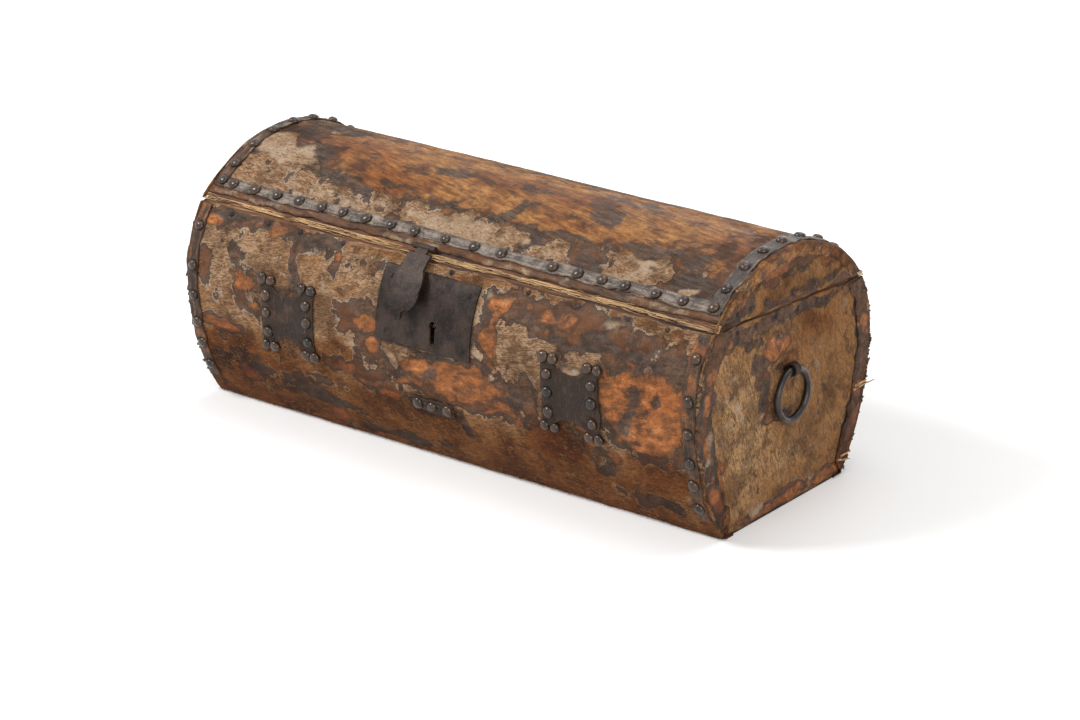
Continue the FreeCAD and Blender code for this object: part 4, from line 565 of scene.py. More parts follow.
FRONT_RUST = (
    (320, 150, 8, 55, 0, 0.25), (321, 50, 8, 30, 0, 0.1), (-320, 150, 8, 55, 0, 0.2),
    (-321, 60, 8, 40, 0, 0.1), (-220, 211, 22, 7, 0, 0.7), (-285, 205, 12, 8, 0, 0.6),
    (-235, 151, 12, 10, 0, 0.55), (-291, 156, 9, 8, 0, 0.45), (-228, 128, 14, 6, 0, 0.7),
    (-82, 150, 18, 7, 0, 0.6), (-76, 124, 13, 11, 0, 0.6), (-270, 98, 24, 5, 0, 0.5),
    (-98, 88, 26, 6, -6, 0.4), (-118, 200, 8, 6, 0, 0.5), (30, 112, 60, 14, 0, 0.85),
    (55, 94, 46, 8, 0, 0.7), (-25, 92, 22, 6, 0, 0.6), (72, 165, 12, 24, 0, 0.6), (76, 205, 16, 8, 0, 0.6),
    (26, 211, 26, 4, 0, 0.5), (150, 200, 28, 10, 0, 0.3), (140, 180, 22, 6, 0, 0.1),
    (249, 135, 47, 37, 0, 1.8), (222, 205, 12, 6, 0, 0.2), (262, 212, 14, 5, 0, 0.5),
    (-240, 45, 20, 8, 0, 0.3), (-150, 22, 26, 8, 0, 0.3), (90, 60, 20, 8, 0, -0.1),
    (-60, 75, 16, 7, 0, 0.1))
FRONT_DARK = (
    (312, 110, 5, 110, 0, 0.35), (331, 110, 7, 110, 0, 0.6), (-312, 110, 5, 110, 0, 0.35),
    (-331, 110, 7, 110, 0, 0.6), (-260, 214, 34, 7, 0, 0.5), (-150, 206, 16, 9, 0, 0.5),
    (-192, 206, 9, 7, 0, 0.5), (-174, 190, 4, 16, 8, 0.6), (-178, 125, 34, 44, 0, 0.3),
    (-2, 106, 9, 9, 0, 0.8), (96, 110, 6, 16, 0, 0.8), (205, 182, 60, 6, 0, 0.5),
    (182, 186, 18, 12, 0, 0.3), (232, 150, 5, 12, -10, 0.6), (262, 152, 10, 8, 30, 0.5),
    (230, 122, 6, 16, 0, 0.5), (165, 125, 34, 44, 0, 0.3), (32, 62, 6, 16, 0, 0.5),
    (200, 65, 15, 13, 0, 0.6), (-255, 60, 50, 14, 0, 0.3), (-170, 44, 48, 14, 0, 0.3),
    (-60, 18, 80, 10, 0, 0.2), (-4, 70, 34, 12, 0, 0.7), (120, 140, 6, 20, 0, 0.3),
    (50, 172, 5, 34, 0, 0.1), (-8, 134, 62, 5, 0, 0.4), (258, 30, 30, 10, 0, 0.4))
FRONT_PALE = (
    (-96, 118, 14, 4, 20, 0.0), (-46, 112, 12, 4, -20, -0.1), (56, 142, 8, 5, 0, 0.4),
    (88, 143, 7, 5, 0, 0.3), (250, 200, 34, 12, 0, -0.25), (208, 206, 30, 11, 0, -0.15),
    (162, 155, 10, 10, 0, 0.0), (-58, 210, 5, 9, 0, 0.2), (60, 212, 6, 6, 0, 0.1))
LID_BARE = (
    (40, 330, 330, 44, 0, -1.2), (-180, 300, 40, 18, 0, -0.9), (-155, 276, 30, 9, 0, -0.6),
    (75, 268, 11, 16, 0, -0.9), (103, 285, 30, 8, 0, -0.9), (145, 262, 24, 20, 0, -0.9),
    (262, 268, 36, 24, 0, -0.9), (-288, 293, 15, 9, 0, -0.9), (200, 266, 32, 21, 0, 0.9),
    (0, 262, 68, 17, 0, 0.7), (-80, 262, 26, 12, 0, 0.4), (-160, 258, 44, 7, 0, 0.3),
    (102, 258, 18, 13, 0, 0.5), (-256, 300, 44, 22, -20, 0.9), (-284, 322, 24, 14, 0, 0.8),
    (-258, 264, 52, 16, 0, 0.5))
LID_RUST = (
    (317, 350, 8, 130, 0, 0.6), (-317, 350, 8, 130, 0, 0.6), (30, 335, 250, 46, 0, 0.9),
    (-150, 305, 44, 18, 0, 0.7), (60, 300, 200, 14, 0, 0.7), (40, 384, 270, 60, 0, 0.7),
    (-280, 345, 40, 12, 0, -0.4), (-224, 305, 14, 26, 10, -0.8), (260, 262, 16, 10, 0, -0.4),
    (250, 300, 40, 16, 0, 0.3), (0, 450, 320, 30, 0, 0.2))
LID_DARK = (
    (-222, 312, 13, 28, 14, 0.9), (-190, 284, 22, 8, -6, 0.8), (-276, 344, 30, 12, 0, 0.8),
    (-150, 274, 22, 6, 0, 0.6), (-120, 300, 16, 7, 0, 0.4), (-60, 340, 20, 10, 0, 0.5),
    (24, 342, 7, 8, 0, 0.6), (32, 294, 8, 18, 0, 0.5), (122, 326, 22, 13, 0, 0.9),
    (40, 346, 34, 8, -8, 0.5), (105, 345, 12, 6, 0, 0.4), (192, 294, 28, 8, 0, 0.8),
    (246, 300, 22, 12, 0, 0.5), (75, 268, 9, 14, 0, 0.7), (108, 284, 26, 6, 0, 0.5),
    (145, 262, 20, 14, 0, 0.35), (-288, 293, 14, 8, 0, 0.9), (262, 266, 30, 16, 0, 0.35),
    (-20, 281, 90, 3, 0, 0.4), (-250, 380, 60, 16, 0, 0.4), (60, 400, 160, 8, 0, 0.3),
    (120, 372, 50, 8, 0, 0.3), (-60, 420, 90, 12, 0, 0.4))
LID_PALE = (
    (-278, 314, 20, 18, 0, 0.7), (-246, 308, 26, 16, -30, 0.7), (-262, 302, 40, 12, 0, 0.3),
    (0, 262, 64, 13, 0, 0.35), (200, 280, 24, 5, 0, 0.5), (200, 262, 26, 16, 0, 0.1),
    (-110, 262, 20, 8, 0, 0.2), (262, 258, 8, 6, 0, 0.6), (104, 256, 12, 8, 0, 0.3),
    (296, 300, 6, 26, 0, 0.2), (-160, 256, 40, 6, 0, 0.1))
BACK_BARE = (
    (320, 110, 12, 130, 0, -0.9), (-320, 110, 12, 130, 0, -0.9), (-210, 150, 60, 26, 10, -0.9),
    (90, 190, 70, 14, 0, -0.8), (20, 110, 50, 20, 0, -0.8), (220, 80, 44, 26, 0, -0.9),
    (-120, 60, 60, 18, 0, -0.7), (250, 170, 26, 22, 0, -0.6), (-20, 30, 120, 12, 0, -0.5),
    (130, 140, 16, 22, 0, -0.6))
BACK_RUST = (
    (322, 150, 9, 30, 0, 0.0), (321, 60, 8, 40, 0, 0.2), (-320, 150, 8, 55, 0, 0.2),
    (-321, 60, 8, 40, 0, 0.1), (-214, 150, 44, 17, 10, 0.8), (96, 190, 40, 8, 0, 0.5),
    (16, 108, 26, 11, 0, 0.6), (224, 80, 28, 16, 0, 0.7), (-130, 58, 30, 9, 0, 0.4),
    (250, 168, 12, 12, 0, 0.6))
BACK_DARK = (
    (331, 110, 6, 110, 0, 0.4), (-331, 110, 7, 110, 0, 0.6), (-190, 176, 50, 8, 0, 0.5),
    (60, 194, 60, 6, 0, 0.4), (-40, 120, 12, 18, 0, 0.5), (200, 104, 40, 8, 0, 0.5),
    (130, 140, 9, 16, 0, 0.6), (-190, 170, 16, 40, 0, 0.3), (190, 170, 16, 40, 0, 0.3),
    (-250, 30, 60, 14, 0, 0.4))
BACK_PALE = (
    (-150, 184, 24, 8, 0, 0.4), (40, 150, 26, 12, 0, 0.3), (-260, 100, 20, 14, 0, 0.3))
# The same on the right end, in millimetres from the middle and from the floor.
END_BARE = (
    (-95, 192, 60, 8, 6, -0.8), (0, 192, 90, 6, 4, -0.6), (-14, 168, 22, 11, 0, -0.7),
    (-46, 160, 16, 10, -40, -0.5), (-38, 136, 9, 14, 20, -0.4), (-30, 112, 11, 15, 0, -0.35),
    (-16, 92, 26, 5, 0, -0.5), (4, 146, 18, 6, 0, -0.4), (-118, 40, 14, 44, 16, -0.7),
    (118, 60, 12, 60, -14, -0.5), (30, 6, 120, 8, 0, -0.7), (-92, 188, 14, 12, 0, -0.9),
    (124, 150, 8, 50, 8, -0.5))
END_RUST = (
    (-15, 168, 19, 10, 6, 1.9), (-92, 189, 10, 8, 0, 0.6), (0, 148, 16, 4, 0, 0.3),
    (-20, 92, 14, 4, 0, 0.4), (-110, 62, 8, 22, 16, 0.5), (20, 4, 110, 6, 0, 0.5),
    (112, 40, 10, 30, -16, 0.5), (122, 100, 8, 16, 0, 0.5))
END_DARK = (
    (-60, 182, 40, 7, -10, 0.3), (-36, 118, 10, 16, 0, 0.3), (-6, 92, 30, 5, 0, 0.2),
    (-120, 70, 5, 50, 10, 0.3), (-120, 150, 5, 40, 0, 0.4), (60, 193, 60, 5, 4, 0.3),
    (128, 110, 6, 70, 4, 0.2), (-92, 144, 3, 5, 0, 0.5))
END_PALE = (
    (-82, 110, 26, 50, 0, -0.7), (-45, 15, 18, 8, 0, 0.1))
LID_END_BARE = (
    (0, 246, 90, 8, 0, -0.8), (-80, 226, 18, 16, 30, -0.6), (-30, 236, 16, 10, 0, -0.7),
    (0, 204, 110, 5, 0, -0.6))
LID_END_RUST = (
    (0, 253, 90, 7, 0, 0.5), (-22, 243, 24, 9, 0, 1.0), (70, 236, 14, 8, -40, 0.5),
    (-84, 224, 12, 10, 40, 0.6))
LID_END_DARK = (
    (-50, 240, 14, 6, 30, 0.6), (10, 234, 30, 5, 0, 0.5), (60, 214, 50, 5, 0, 0.4),
    (-90, 210, 14, 6, 0, 0.6))


def plain_paints(bare, rust, dark, pale, fur_ground=0.55):
    """The four painted layers of a hide: each a ground value and the strokes over it."""
    return {"fur": (fur_ground, bare), "rust": (-0.75, rust), "dark": (-0.85, dark), "pale": (-1.1, pale)}


def painted(x, y, paints, seed):
    """The values of those layers at each place, with noise 26 mm wide added."""
    return {key: paint(x, y, *paints[key]) + 0.2 * mottle(x, y, 26 * MM, seed + 3 + n)
            for n, key in enumerate(("fur", "rust", "dark", "pale"))}


def shaded(ground, x, y, seed):
    """Dirt and painted shade that gather: a ground value with patches 60 mm wide."""
    return ground + 0.07 * mottle(x, y, 60 * MM, seed)


def barrel_hide(s, section, low, high, fold, seed, slant_low, slant_high, paints, dirt_and_shade, mirrored=False,
                hole=None):
    """A sheet over the barrel between two ways, which turns over both ends and lies there in a ragged band.
    Along the box, a point's place is clipped at the end and what is left over runs inwards, square to the
    outline; both are the mean of three places, so that the edge is soft. Undulations of 30 and 9 mm lift
    it by half a millimetre."""
    half, soft = s.length / 2, s.corner_round
    count = int(s.length / s.grid)
    flat = np.linspace(-half, half, count)
    rows = int((np.mean(high(flat)) - np.mean(low(flat))) / s.grid)
    share = np.linspace(0, 1, rows)[:, None]
    middle = low(0 * flat).mean() + share * (high(0 * flat).mean() - low(0 * flat).mean())
    ragged = fold * (1 + 0.12 * mottle(middle, 0, 11 * MM, seed) + 0.05 * mottle(middle, 1, 3 * MM, seed))
    spread = np.linspace(1, 0, 9)[None, :-1]
    u = np.concatenate([-half - ragged * spread, np.repeat(flat[None, :], rows, 0),
                        half + ragged * spread[:, ::-1]], 1)
    way = low(u) + share * (high(u) - low(u))

    def over(run):
        """How far along the box a run reaches, and how far it has turned inwards past the end."""
        return np.clip(run, -half, half), np.maximum(np.abs(run) - half, 0)

    x, inset = ((a + 2 * b + c) / 4 for a, b, c in zip(over(u - soft), over(u), over(u + soft)))
    inset = np.minimum(inset, 1.9 * np.maximum(way, 0) + 1.5 * MM)
    y, z, out, up = section.at(way)
    side = np.sign(y)
    slant = step((way - (high(u) - slant_high)) / slant_high) if slant_high else 0 * way
    if slant_low:
        slant = slant + step((low(u) + slant_low - way) / slant_low)
    along_y, along_z = out * (1 - slant) + side * slant, up * (1 - slant)
    reach = inset / np.maximum(along_y * out + along_z * up, 0.3)
    turn = step((np.abs(u) - half) / (4 * soft) + 0.5) * math.pi / 2
    lift = (0.4 * mottle(u, way, 30 * MM, seed + 1) + 0.2 * mottle(u, way, 9 * MM, seed + 2)) * MM
    fields = painted(u, way, paints, seed)
    dirt_and_shade(fields, u, way)
    lift = lift + 0.4 * MM * step(fields["fur"] + 0.5) + fields.pop("swell", 0.0)
    points = np.stack([x + np.sign(u) * np.sin(turn) * lift, y - along_y * reach + out * np.cos(turn) * lift,
                       np.maximum(z - along_z * reach + up * np.cos(turn) * lift, 0.1 * MM)], -1)
    faces = np.array(quads(*u.shape, flip=mirrored))
    if hole:
        left, right, below, above = hole
        at_x, _, at_z = points.reshape(-1, 3)[faces].mean(1).T
        faces = faces[(at_x <= left) | (at_x >= right) | (at_z <= below) | (at_z >= above)]
    if mirrored:
        points[..., 1] *= -1
    return points, faces.tolist(), fields


def stained(fields, x, y, places, reach=6 * MM):
    """Darkens a hide round each nail: the dark field rises by exp(-(distance / reach) squared)."""
    for px, py in places:
        halo = np.exp(-(((x - px) ** 2 + (y - py) ** 2) / reach ** 2))
        fields["dark"] = fields["dark"] + 1.3 * halo
        fields["rust"] = fields["rust"] - 0.8 * halo


END_HIDE_INSET = 1.8 * MM  # how far the ends' skins lie under the folds of the hides round the barrel
END_HIDE_THICK = 1.4 * MM


def end_hide(s, section, sign, low, high, seed, paints, dirt_and_shade):
    """A flat skin on an end: rows from one height to another, each as wide as the outline there, tilted
    so that the last follows the sloping seam."""
    half = s.length / 2 - END_HIDE_INSET
    rows, columns = int((high - low) / s.grid), int(2 * s.belly_half_depth / s.grid)
    share, across = np.linspace(0, 1, rows)[:, None], np.linspace(-1, 1, columns)[None, :]
    level = low + share * (high - low)
    wide = -section.at(section.way_at_height(level))[0] - 1.6 * MM
    y = across * wide
    tilt = share if low < s.belly_height else 1 - share
    z = level + tilt * s.seam_slope * y + (2 * share - 1) * 0.8 * MM * mottle(y, 0, 14 * MM, seed + 9)
    lift = (0.35 * mottle(y, z, 26 * MM, seed) + 0.15 * mottle(y, z, 8 * MM, seed + 1)) * MM
    fields = painted(y, z, paints, seed)
    dirt_and_shade(fields, y, z)
    points = np.stack([sign * (half + lift + 0.3 * MM * step(fields["fur"] + 0.5)), y, z], -1)
    return points, quads(rows, columns, flip=sign < 0), fields


def nail_places(node, section):
    """Crown and direction of each nail of a CAD node. Its triangles are gathered into separate nails by
    giving every corner the lowest number that it shares a triangle with, until none changes. A nail that is
    longer along the box than its head is wide is in an end, and any other faces out from the outline, at the
    point that is farthest from a line through the middle of the box, 120 mm up."""
    mesh = NODES[node].data
    points = np.zeros(len(mesh.vertices) * 3, np.float32)
    mesh.vertices.foreach_get("co", points)
    points = points.reshape(-1, 3)
    _, same = np.unique(np.round(points, 5), axis=0, return_inverse=True)
    same = same.ravel()
    corners = np.zeros(len(mesh.loops), np.int32)
    mesh.loops.foreach_get("vertex_index", corners)
    triangles = same[corners.reshape(-1, 3)]
    label = np.arange(same.max() + 1)
    while True:
        lowest = label[triangles].min(1)
        after = label.copy()
        np.minimum.at(after, triangles.ravel(), np.repeat(lowest, 3))
        after = after[after]
        if (after == label).all():
            break
        label = after
    owner = label[same]
    places = []
    for number in np.unique(owner):
        nail = points[owner == number].astype(float)
        spread = np.ptp(nail, axis=0)
        if spread[0] > 1.3 * min(spread[1], spread[2]):
            normal = np.array([np.sign(nail[0, 0]), 0.0, 0.0])
        else:
            top = nail[np.argmax(nail[:, 1] ** 2 + (nail[:, 2] - 0.12) ** 2)]
            _, _, out, up = section.at(section.way_of(top[1], top[2]))
            normal = np.array([0.0, float(out), float(up)])
        far = nail @ normal
        crown = nail[far > far.max() - 0.3 * MM].mean(0)
        places.append((crown, normal))
    return places


def nail_heads(name, node, section, wide, rise, finish, body, seed, rings=6, sides=14):
    """Hammered domes: rings whose radius goes as the sine and whose height as the cosine of a quarter turn,
    each head a little out of round, off centre and flattened by its own random amounts. A foot ring goes
    under the leather, and a point closes it above and below."""
    rng = np.random.default_rng(seed)
    places = nail_places(node, section)
    count = len(places)
    crown = np.array([p for p, _ in places])
    normal = np.array([n for _, n in places])
    across = np.cross(normal, [0.0, 0.0, 1.0])
    across[np.linalg.norm(across, axis=1) < 0.1] = [1.0, 0.0, 0.0]
    across /= np.linalg.norm(across, axis=1)[:, None]
    other = np.cross(normal, across)
    turn = np.linspace(0, 2 * math.pi, sides, endpoint=False)[None, None, :]
    quarter = np.linspace(0.12, 1, rings - 1)[None, :, None] * math.pi / 2
    girth = wide / 2 * rng.uniform(0.92, 1.1, (count, 1, 1))
    dent = rng.uniform(0, 2 * math.pi, (count, 3, 1, 1))
    round_ = 1 + 0.05 * np.sin(2 * turn + dent[:, 0]) + 0.035 * np.sin(3 * turn + dent[:, 1])
    radius = girth * np.sin(quarter) ** 0.85 * round_
    height = rise * (np.cos(quarter) ** 0.8 - 1) * (1 + 0.08 * np.sin(turn + dent[:, 2]))
    radius = np.concatenate([radius, radius[:, -1:] * 0.92], 1)
    height = np.concatenate([height, height[:, -1:] - 1.2 * MM], 1)
    rim = (crown[:, None, None] + normal[:, None, None] * height[..., None]
           + across[:, None, None] * (radius * np.cos(turn))[..., None]
           + other[:, None, None] * (radius * np.sin(turn))[..., None])
    points = np.concatenate([crown[:, None], rim.reshape(count, -1, 3),
                             (crown - normal * (rise + 1.2 * MM))[:, None]], 1)
    each = points.shape[1]
    first = np.arange(sides)
    after = (first + 1) % sides
    last = 1 + (rings - 1) * sides
    faces = (np.stack([1 + after, 1 + first, 0 * first], 1),
             quads(rings, sides, round_columns=True, start=1),
             np.stack([last + first, last + after, 0 * first + each - 1], 1))
    faces = [face for part in faces for face in copies(part, count, each)]
    solid(name, (points, faces, {}), finish, body, (node,))


STRIP_GRID = 1.5 * MM  # spacing of the mesh on the leather


def strip_sheet(section, left, right, low, high, studs, seed):
    """A leather strip over the hide between two places along the box and two ways round it. Its edges
    wander, its face waves, and it is pressed in under each stud and swells round it: its height over the
    outline is 1.7 + waves - 0.5 exp(-(d/5)2) + 0.7 exp(-((d-7.5)/2.2)2), where d is the distance from a stud,
    all in millimetres."""
    middle_way, middle_x = (low + high) / 2, (left + right) / 2
    tall, wide = high - low, right - left
    rows, columns = max(int(tall / STRIP_GRID), 6), max(int(wide / STRIP_GRID), 6)
    v, u = np.linspace(-0.5, 0.5, rows)[:, None], np.linspace(-0.5, 0.5, columns)[None, :]
    x, way = middle_x + u * wide, middle_way + v * tall
    slim = min(tall, wide)
    if tall > wide:
        slim = min(slim, 15 * MM)
        x = x + 0.09 * slim * (mottle(way, 0, 24 * MM, seed) + 2 * u * mottle(way, 5, 9 * MM, seed + 1))
    else:
        way = way + 0.13 * slim * (mottle(x, 0, 26 * MM, seed) + 2 * v * mottle(x, 5, 9 * MM, seed + 1))
    x, way = np.broadcast_arrays(x, way)
    y, z, out, up = section.at(way)
    height = 1.7 + 0.35 * mottle(x, way, 13 * MM, seed + 2) + 0.2 * mottle(x, way, 5 * MM, seed + 3)
    for sx, sway in studs:
        d = np.hypot(x - sx, way - sway) / MM
        height = height - 0.5 * np.exp(-(d / 5) ** 2) + 0.7 * np.exp(-((d - 7.5) / 2.2) ** 2)
    height = height * MM
    dish = sum((np.exp(-(np.hypot(x - sx, way - sway) / (6.6 * MM)) ** 4) for sx, sway in studs), 0 * x)
    along, over, aside = (way, x, np.abs(u + 0 * v)) if tall > wide else (x, way, np.abs(v + 0 * u))
    if max(tall, wide) < 8 * min(tall, wide):
        aside = np.maximum(np.abs(u), np.abs(v))
    fields = {"edge": 2 * aside, "along": along, "over": over, "dish": dish}
    return np.stack([x, y + out * height, z + up * height], -1), quads(rows, columns), fields


def strands(name, roots, tips, sag, wide, finish, body, slot, seed, bends):
    """Thin tapering strands, each from a root to a tip, three-sided, bowed by a sag times 4t(1 - t) and
    wandering by noise, thickest at the root."""
    rng = np.random.default_rng(seed)
    count = len(roots)
    t = np.linspace(0, 1, bends)[None, :, None]
    line = roots[:, None] + (tips - roots)[:, None] * t + sag[:, None] * 4 * t * (1 - t)
    long = np.linalg.norm(tips - roots, axis=1)[:, None, None]
    line = line + rng.normal(0, 0.02, (count, bends, 3)) * long * t
    along = tips - roots
    along /= np.linalg.norm(along, axis=1)[:, None]
    one = np.cross(along, rng.normal(size=(count, 3)))
    one /= np.linalg.norm(one, axis=1)[:, None]
    two = np.cross(along, one)
    turn = np.arange(3) * 2 * math.pi / 3
    thick = wide * rng.uniform(0.6, 1.3, (count, 1, 1)) * (1 - 0.75 * t)
    around = (one[:, None, None] * np.cos(turn)[:, None] + two[:, None, None] * np.sin(turn)[:, None])
    points = line[:, :, None] + around * thick[..., None] / 2
    each = bends * 3
    sides = copies(quads(bends, 3, round_columns=True), count, each)
    ends = copies([[2, 1, 0], [each - 3, each - 2, each - 1]], count, each)
    solid(name, (points, sides + ends, {}), finish, body)


def upright_tube(path, radii, sides):
    """A round bar along a path in a plane square to the box's length: at each point a ring square to the
    path, of that point's radius, set out from the box's length and from what is square to both."""
    ahead = np.roll(path, -1, 0) - np.roll(path, 1, 0)
    ahead[0], ahead[-1] = path[1] - path[0], path[-1] - path[-2]
    ahead /= np.linalg.norm(ahead, axis=1)[:, None]
    one = np.array([1.0, 0.0, 0.0]) + 0 * ahead
    two = np.cross(ahead, one)
    turn = np.linspace(0, 2 * math.pi, sides, endpoint=False)
    ring = one[:, None] * np.cos(turn)[None, :, None] + two[:, None] * np.sin(turn)[None, :, None]
    return path[:, None] + ring * radii[:, None, None]


# The stage, in metres, watts and radians. The camera stands where the photograph was taken from, as near as
# the outline of the box tells.
WHITE = (1, 1, 1, 1)
ROOM_LIGHT, ROOM_STRENGTH = (1.0, 0.985, 0.96, 1), 0.28
FLOOR_HALF, FLOOR_HEIGHT = 9.0, -0.0004
LAMPS = (("key", (-1.3, -1.5, 2.1), 0.75, 52.0), ("top", (0.3, 0.5, 2.4), 1.6, 22.0),
         ("fill", (2.3, -1.4, 1.0), 1.6, 30.0), ("back", (-0.6, 2.4, 1.3), 1.4, 9.0))
LAMPS_AIM_AT = (0.0, 0.0, 0.12)
CAMERA_TURN, CAMERA_RISE, CAMERA_AWAY = 0.653, 0.373, 3.682
CAMERA_AIM = (0.022, 0.0, 0.0792)
CAMERA_SENSOR, CAMERA_LENS = 36, 125.95


class PieceOperator:
    """What the operators share: each makes its pieces from the sizes and the section, or raises an error."""
    bl_options = {"REGISTER", "UNDO"}

    def execute(self, context):
        self.make(context.scene.travel_box_sizes, Section(context.scene.travel_box_sizes))
        return {"FINISHED"}


class TRAVELBOX_OT_stage(PieceOperator, bpy.types.Operator):
    """Floor, soft lights, white surroundings and the camera"""
    bl_idname = "travel_box.stage"
    bl_label = "Stage and camera"

    def make(self, s, section):
        scene = bpy.context.scene
        scene.view_settings.view_transform = "Standard"
        world = scene.world or bpy.data.worlds.new("studio")
        scene.world = world
        world.use_nodes = True
        tree = world.node_tree
        path = put(tree, "light path").node.outputs
        mirrored = put(tree, "MAXIMUM", path["Is Glossy Ray"], path["Is Transmission Ray"])
        seen = put(tree, "MAXIMUM", path["Is Camera Ray"], mirrored)
        join(tree.nodes["World Output"], {"Surface": put(
            tree, "mix shaders", seen, put(tree, "background", ROOM_LIGHT, ROOM_STRENGTH),
            put(tree, "background", WHITE, 1.0))})
        self.floor(scene)
        for name, place, wide, watts in LAMPS:
            lamp = bpy.data.lights.new(name, "AREA")
            lamp.size = wide
            lamp.energy = watts
            holder = bpy.data.objects.new(name, lamp)
            holder.location = place
            aim = np.array(LAMPS_AIM_AT) - place
            holder.rotation_euler = (math.acos(aim[2] / np.linalg.norm(aim)) - math.pi, 0,
                                     math.atan2(aim[0], -aim[1]))
            scene.collection.objects.link(holder)
        self.camera(scene)

    def floor(self, scene):
        """White paper that keeps the box's shadow and glows a little more the farther it is from the box, so
        that it runs into the white surroundings."""
        material, tree, shader, where = blank("white_paper_floor")
        path = put(tree, "light path").node.outputs
        seen = put(tree, "MAXIMUM", path["Is Camera Ray"], path["Is Glossy Ray"])
        away = put(tree, "distance", where)
        glow = put(tree, "ADD", put(tree, "range", away, 0.3, 0.8, 0.18, 0.42),
                   put(tree, "range", away, 0.7, 2.4, 0.0, 0.38))
        join(shader, {"Base Color": linear("#f4f4f4"), "Roughness": 0.95, "Specular IOR Level": 0.0,
                      "Emission Color": WHITE, "Emission Strength": put(tree, "MULTIPLY", seen, glow)})
        mesh = bpy.data.meshes.new("floor")
        half, height = FLOOR_HALF, FLOOR_HEIGHT
        mesh.from_pydata([(-half, -half, height), (half, -half, height), (half, half, height),
                          (-half, half, height)], [], [(0, 1, 2, 3)])
        mesh.materials.append(material)
        floor = bpy.data.objects.new("floor", mesh)
        scene.collection.objects.link(floor)

    def camera(self, scene):
        """The camera stands at a distance from its aim, turned round the box and raised by two angles."""
        camera = bpy.data.cameras.new("camera")
        camera.sensor_width = CAMERA_SENSOR
        camera.lens = CAMERA_LENS
        eye = bpy.data.objects.new("camera", camera)
        x, y, z = CAMERA_AIM
        level = CAMERA_AWAY * math.cos(CAMERA_RISE)
        eye.location = (x + level * math.sin(CAMERA_TURN), y - level * math.cos(CAMERA_TURN),
                        z + CAMERA_AWAY * math.sin(CAMERA_RISE))
        eye.rotation_euler = (math.pi / 2 - CAMERA_RISE, 0, CAMERA_TURN)
        scene.collection.objects.link(eye)
        scene.camera = eye


# What is cut out of the front hide for the lock: left, right, bottom and top, inside the plate's outline.
UNDER_PLATE = (-49 * MM, 27 * MM, 134 * MM, 191 * MM)


class TRAVELBOX_OT_body_hides(PieceOperator, bpy.types.Operator):
    """The two hides that wrap the body, front and back"""
    bl_idname = "travel_box.body_hides"
    bl_label = "Body hides"

    def make(self, s, section):
        tacks = {side: [(p[0], section.way_of(-abs(p[1]), p[2]))
                        for p, n in nail_places("body_tacks", section) if n[0] == 0 and p[1] * side > 0]
                 for side in (-1, 1)}
        front_top = section.way_above_seam(-2.2 * MM)
        back_top = 2 * section.apex - section.way_above_seam(-2.2 * MM, back=True)
        for name, top, seed, tables, mirrored, node in (
                ("front_hide", front_top, 11, (FRONT_BARE, FRONT_RUST, FRONT_DARK, FRONT_PALE), False,
                 "body_front_hide"),
                ("back_hide", back_top, 41, (BACK_BARE, BACK_RUST, BACK_DARK, BACK_PALE), True,
                 "body_back_hide")):
            # The hide runs from 14 mm under the floor to just below the seam, and both edges wander.
            def low(u, seed=seed):
                return -14 * MM + 1.5 * MM * mottle(u, 3, 20 * MM, seed)

            def high(u, seed=seed, top=top):
                return top + (1.3 * mottle(u, 0, 17 * MM, seed) + 0.6 * mottle(u, 2, 5 * MM, seed)) * MM

            # Hair goes browner towards the foot. The shade layer darkens the hide towards the foot, under the
            # lock and the patches and just below the seam: dirt and painted shade together, the painted shade
            # where less light falls on the lower front. The cut edge along the seam is pale.
            def dirt_and_shade(fields, u, way):
                foot = 0.42 * step((125 * MM - way) / (90 * MM)) + 0.2 * step((18 * MM - way) / (18 * MM))
                foot = foot + paint(u, way, 0, ((-240, 72, 80, 30, 6, 0.25), (-178, 118, 40, 34, 0, 0.2),
                                                (165, 112, 36, 30, 0, 0.2), (140, 78, 34, 18, 0, 0.5),
                                                (270, 75, 40, 18, 0, 0.35), (-120, 104, 30, 18, 0, 0.35)))
                fields["fur"] = fields["fur"] + 0.35 * step((115 * MM - way) / (60 * MM))
                hem = 0.18 * step((way - 205 * MM) / (16 * MM))
                fields["shade"] = shaded(foot + hem + 0.04, u, way, seed)
                stained(fields, u, way, tacks[1 if mirrored else -1])
                fields["pale"] = fields["pale"] + 1.2 * step((way - high(u) + 1.8 * MM) / (1.5 * MM))

            shape = barrel_hide(
                s, section, low, high, s.body_fold, seed, 0, 60 * MM, plain_paints(*tables), dirt_and_shade, mirrored,
                None if mirrored else UNDER_PLATE)
            solid(name, shape, "hair_on_hide_body", "body", (node,), s.hide_thick)
        refinish("body_bottom_hide", "patch_leather_dark")


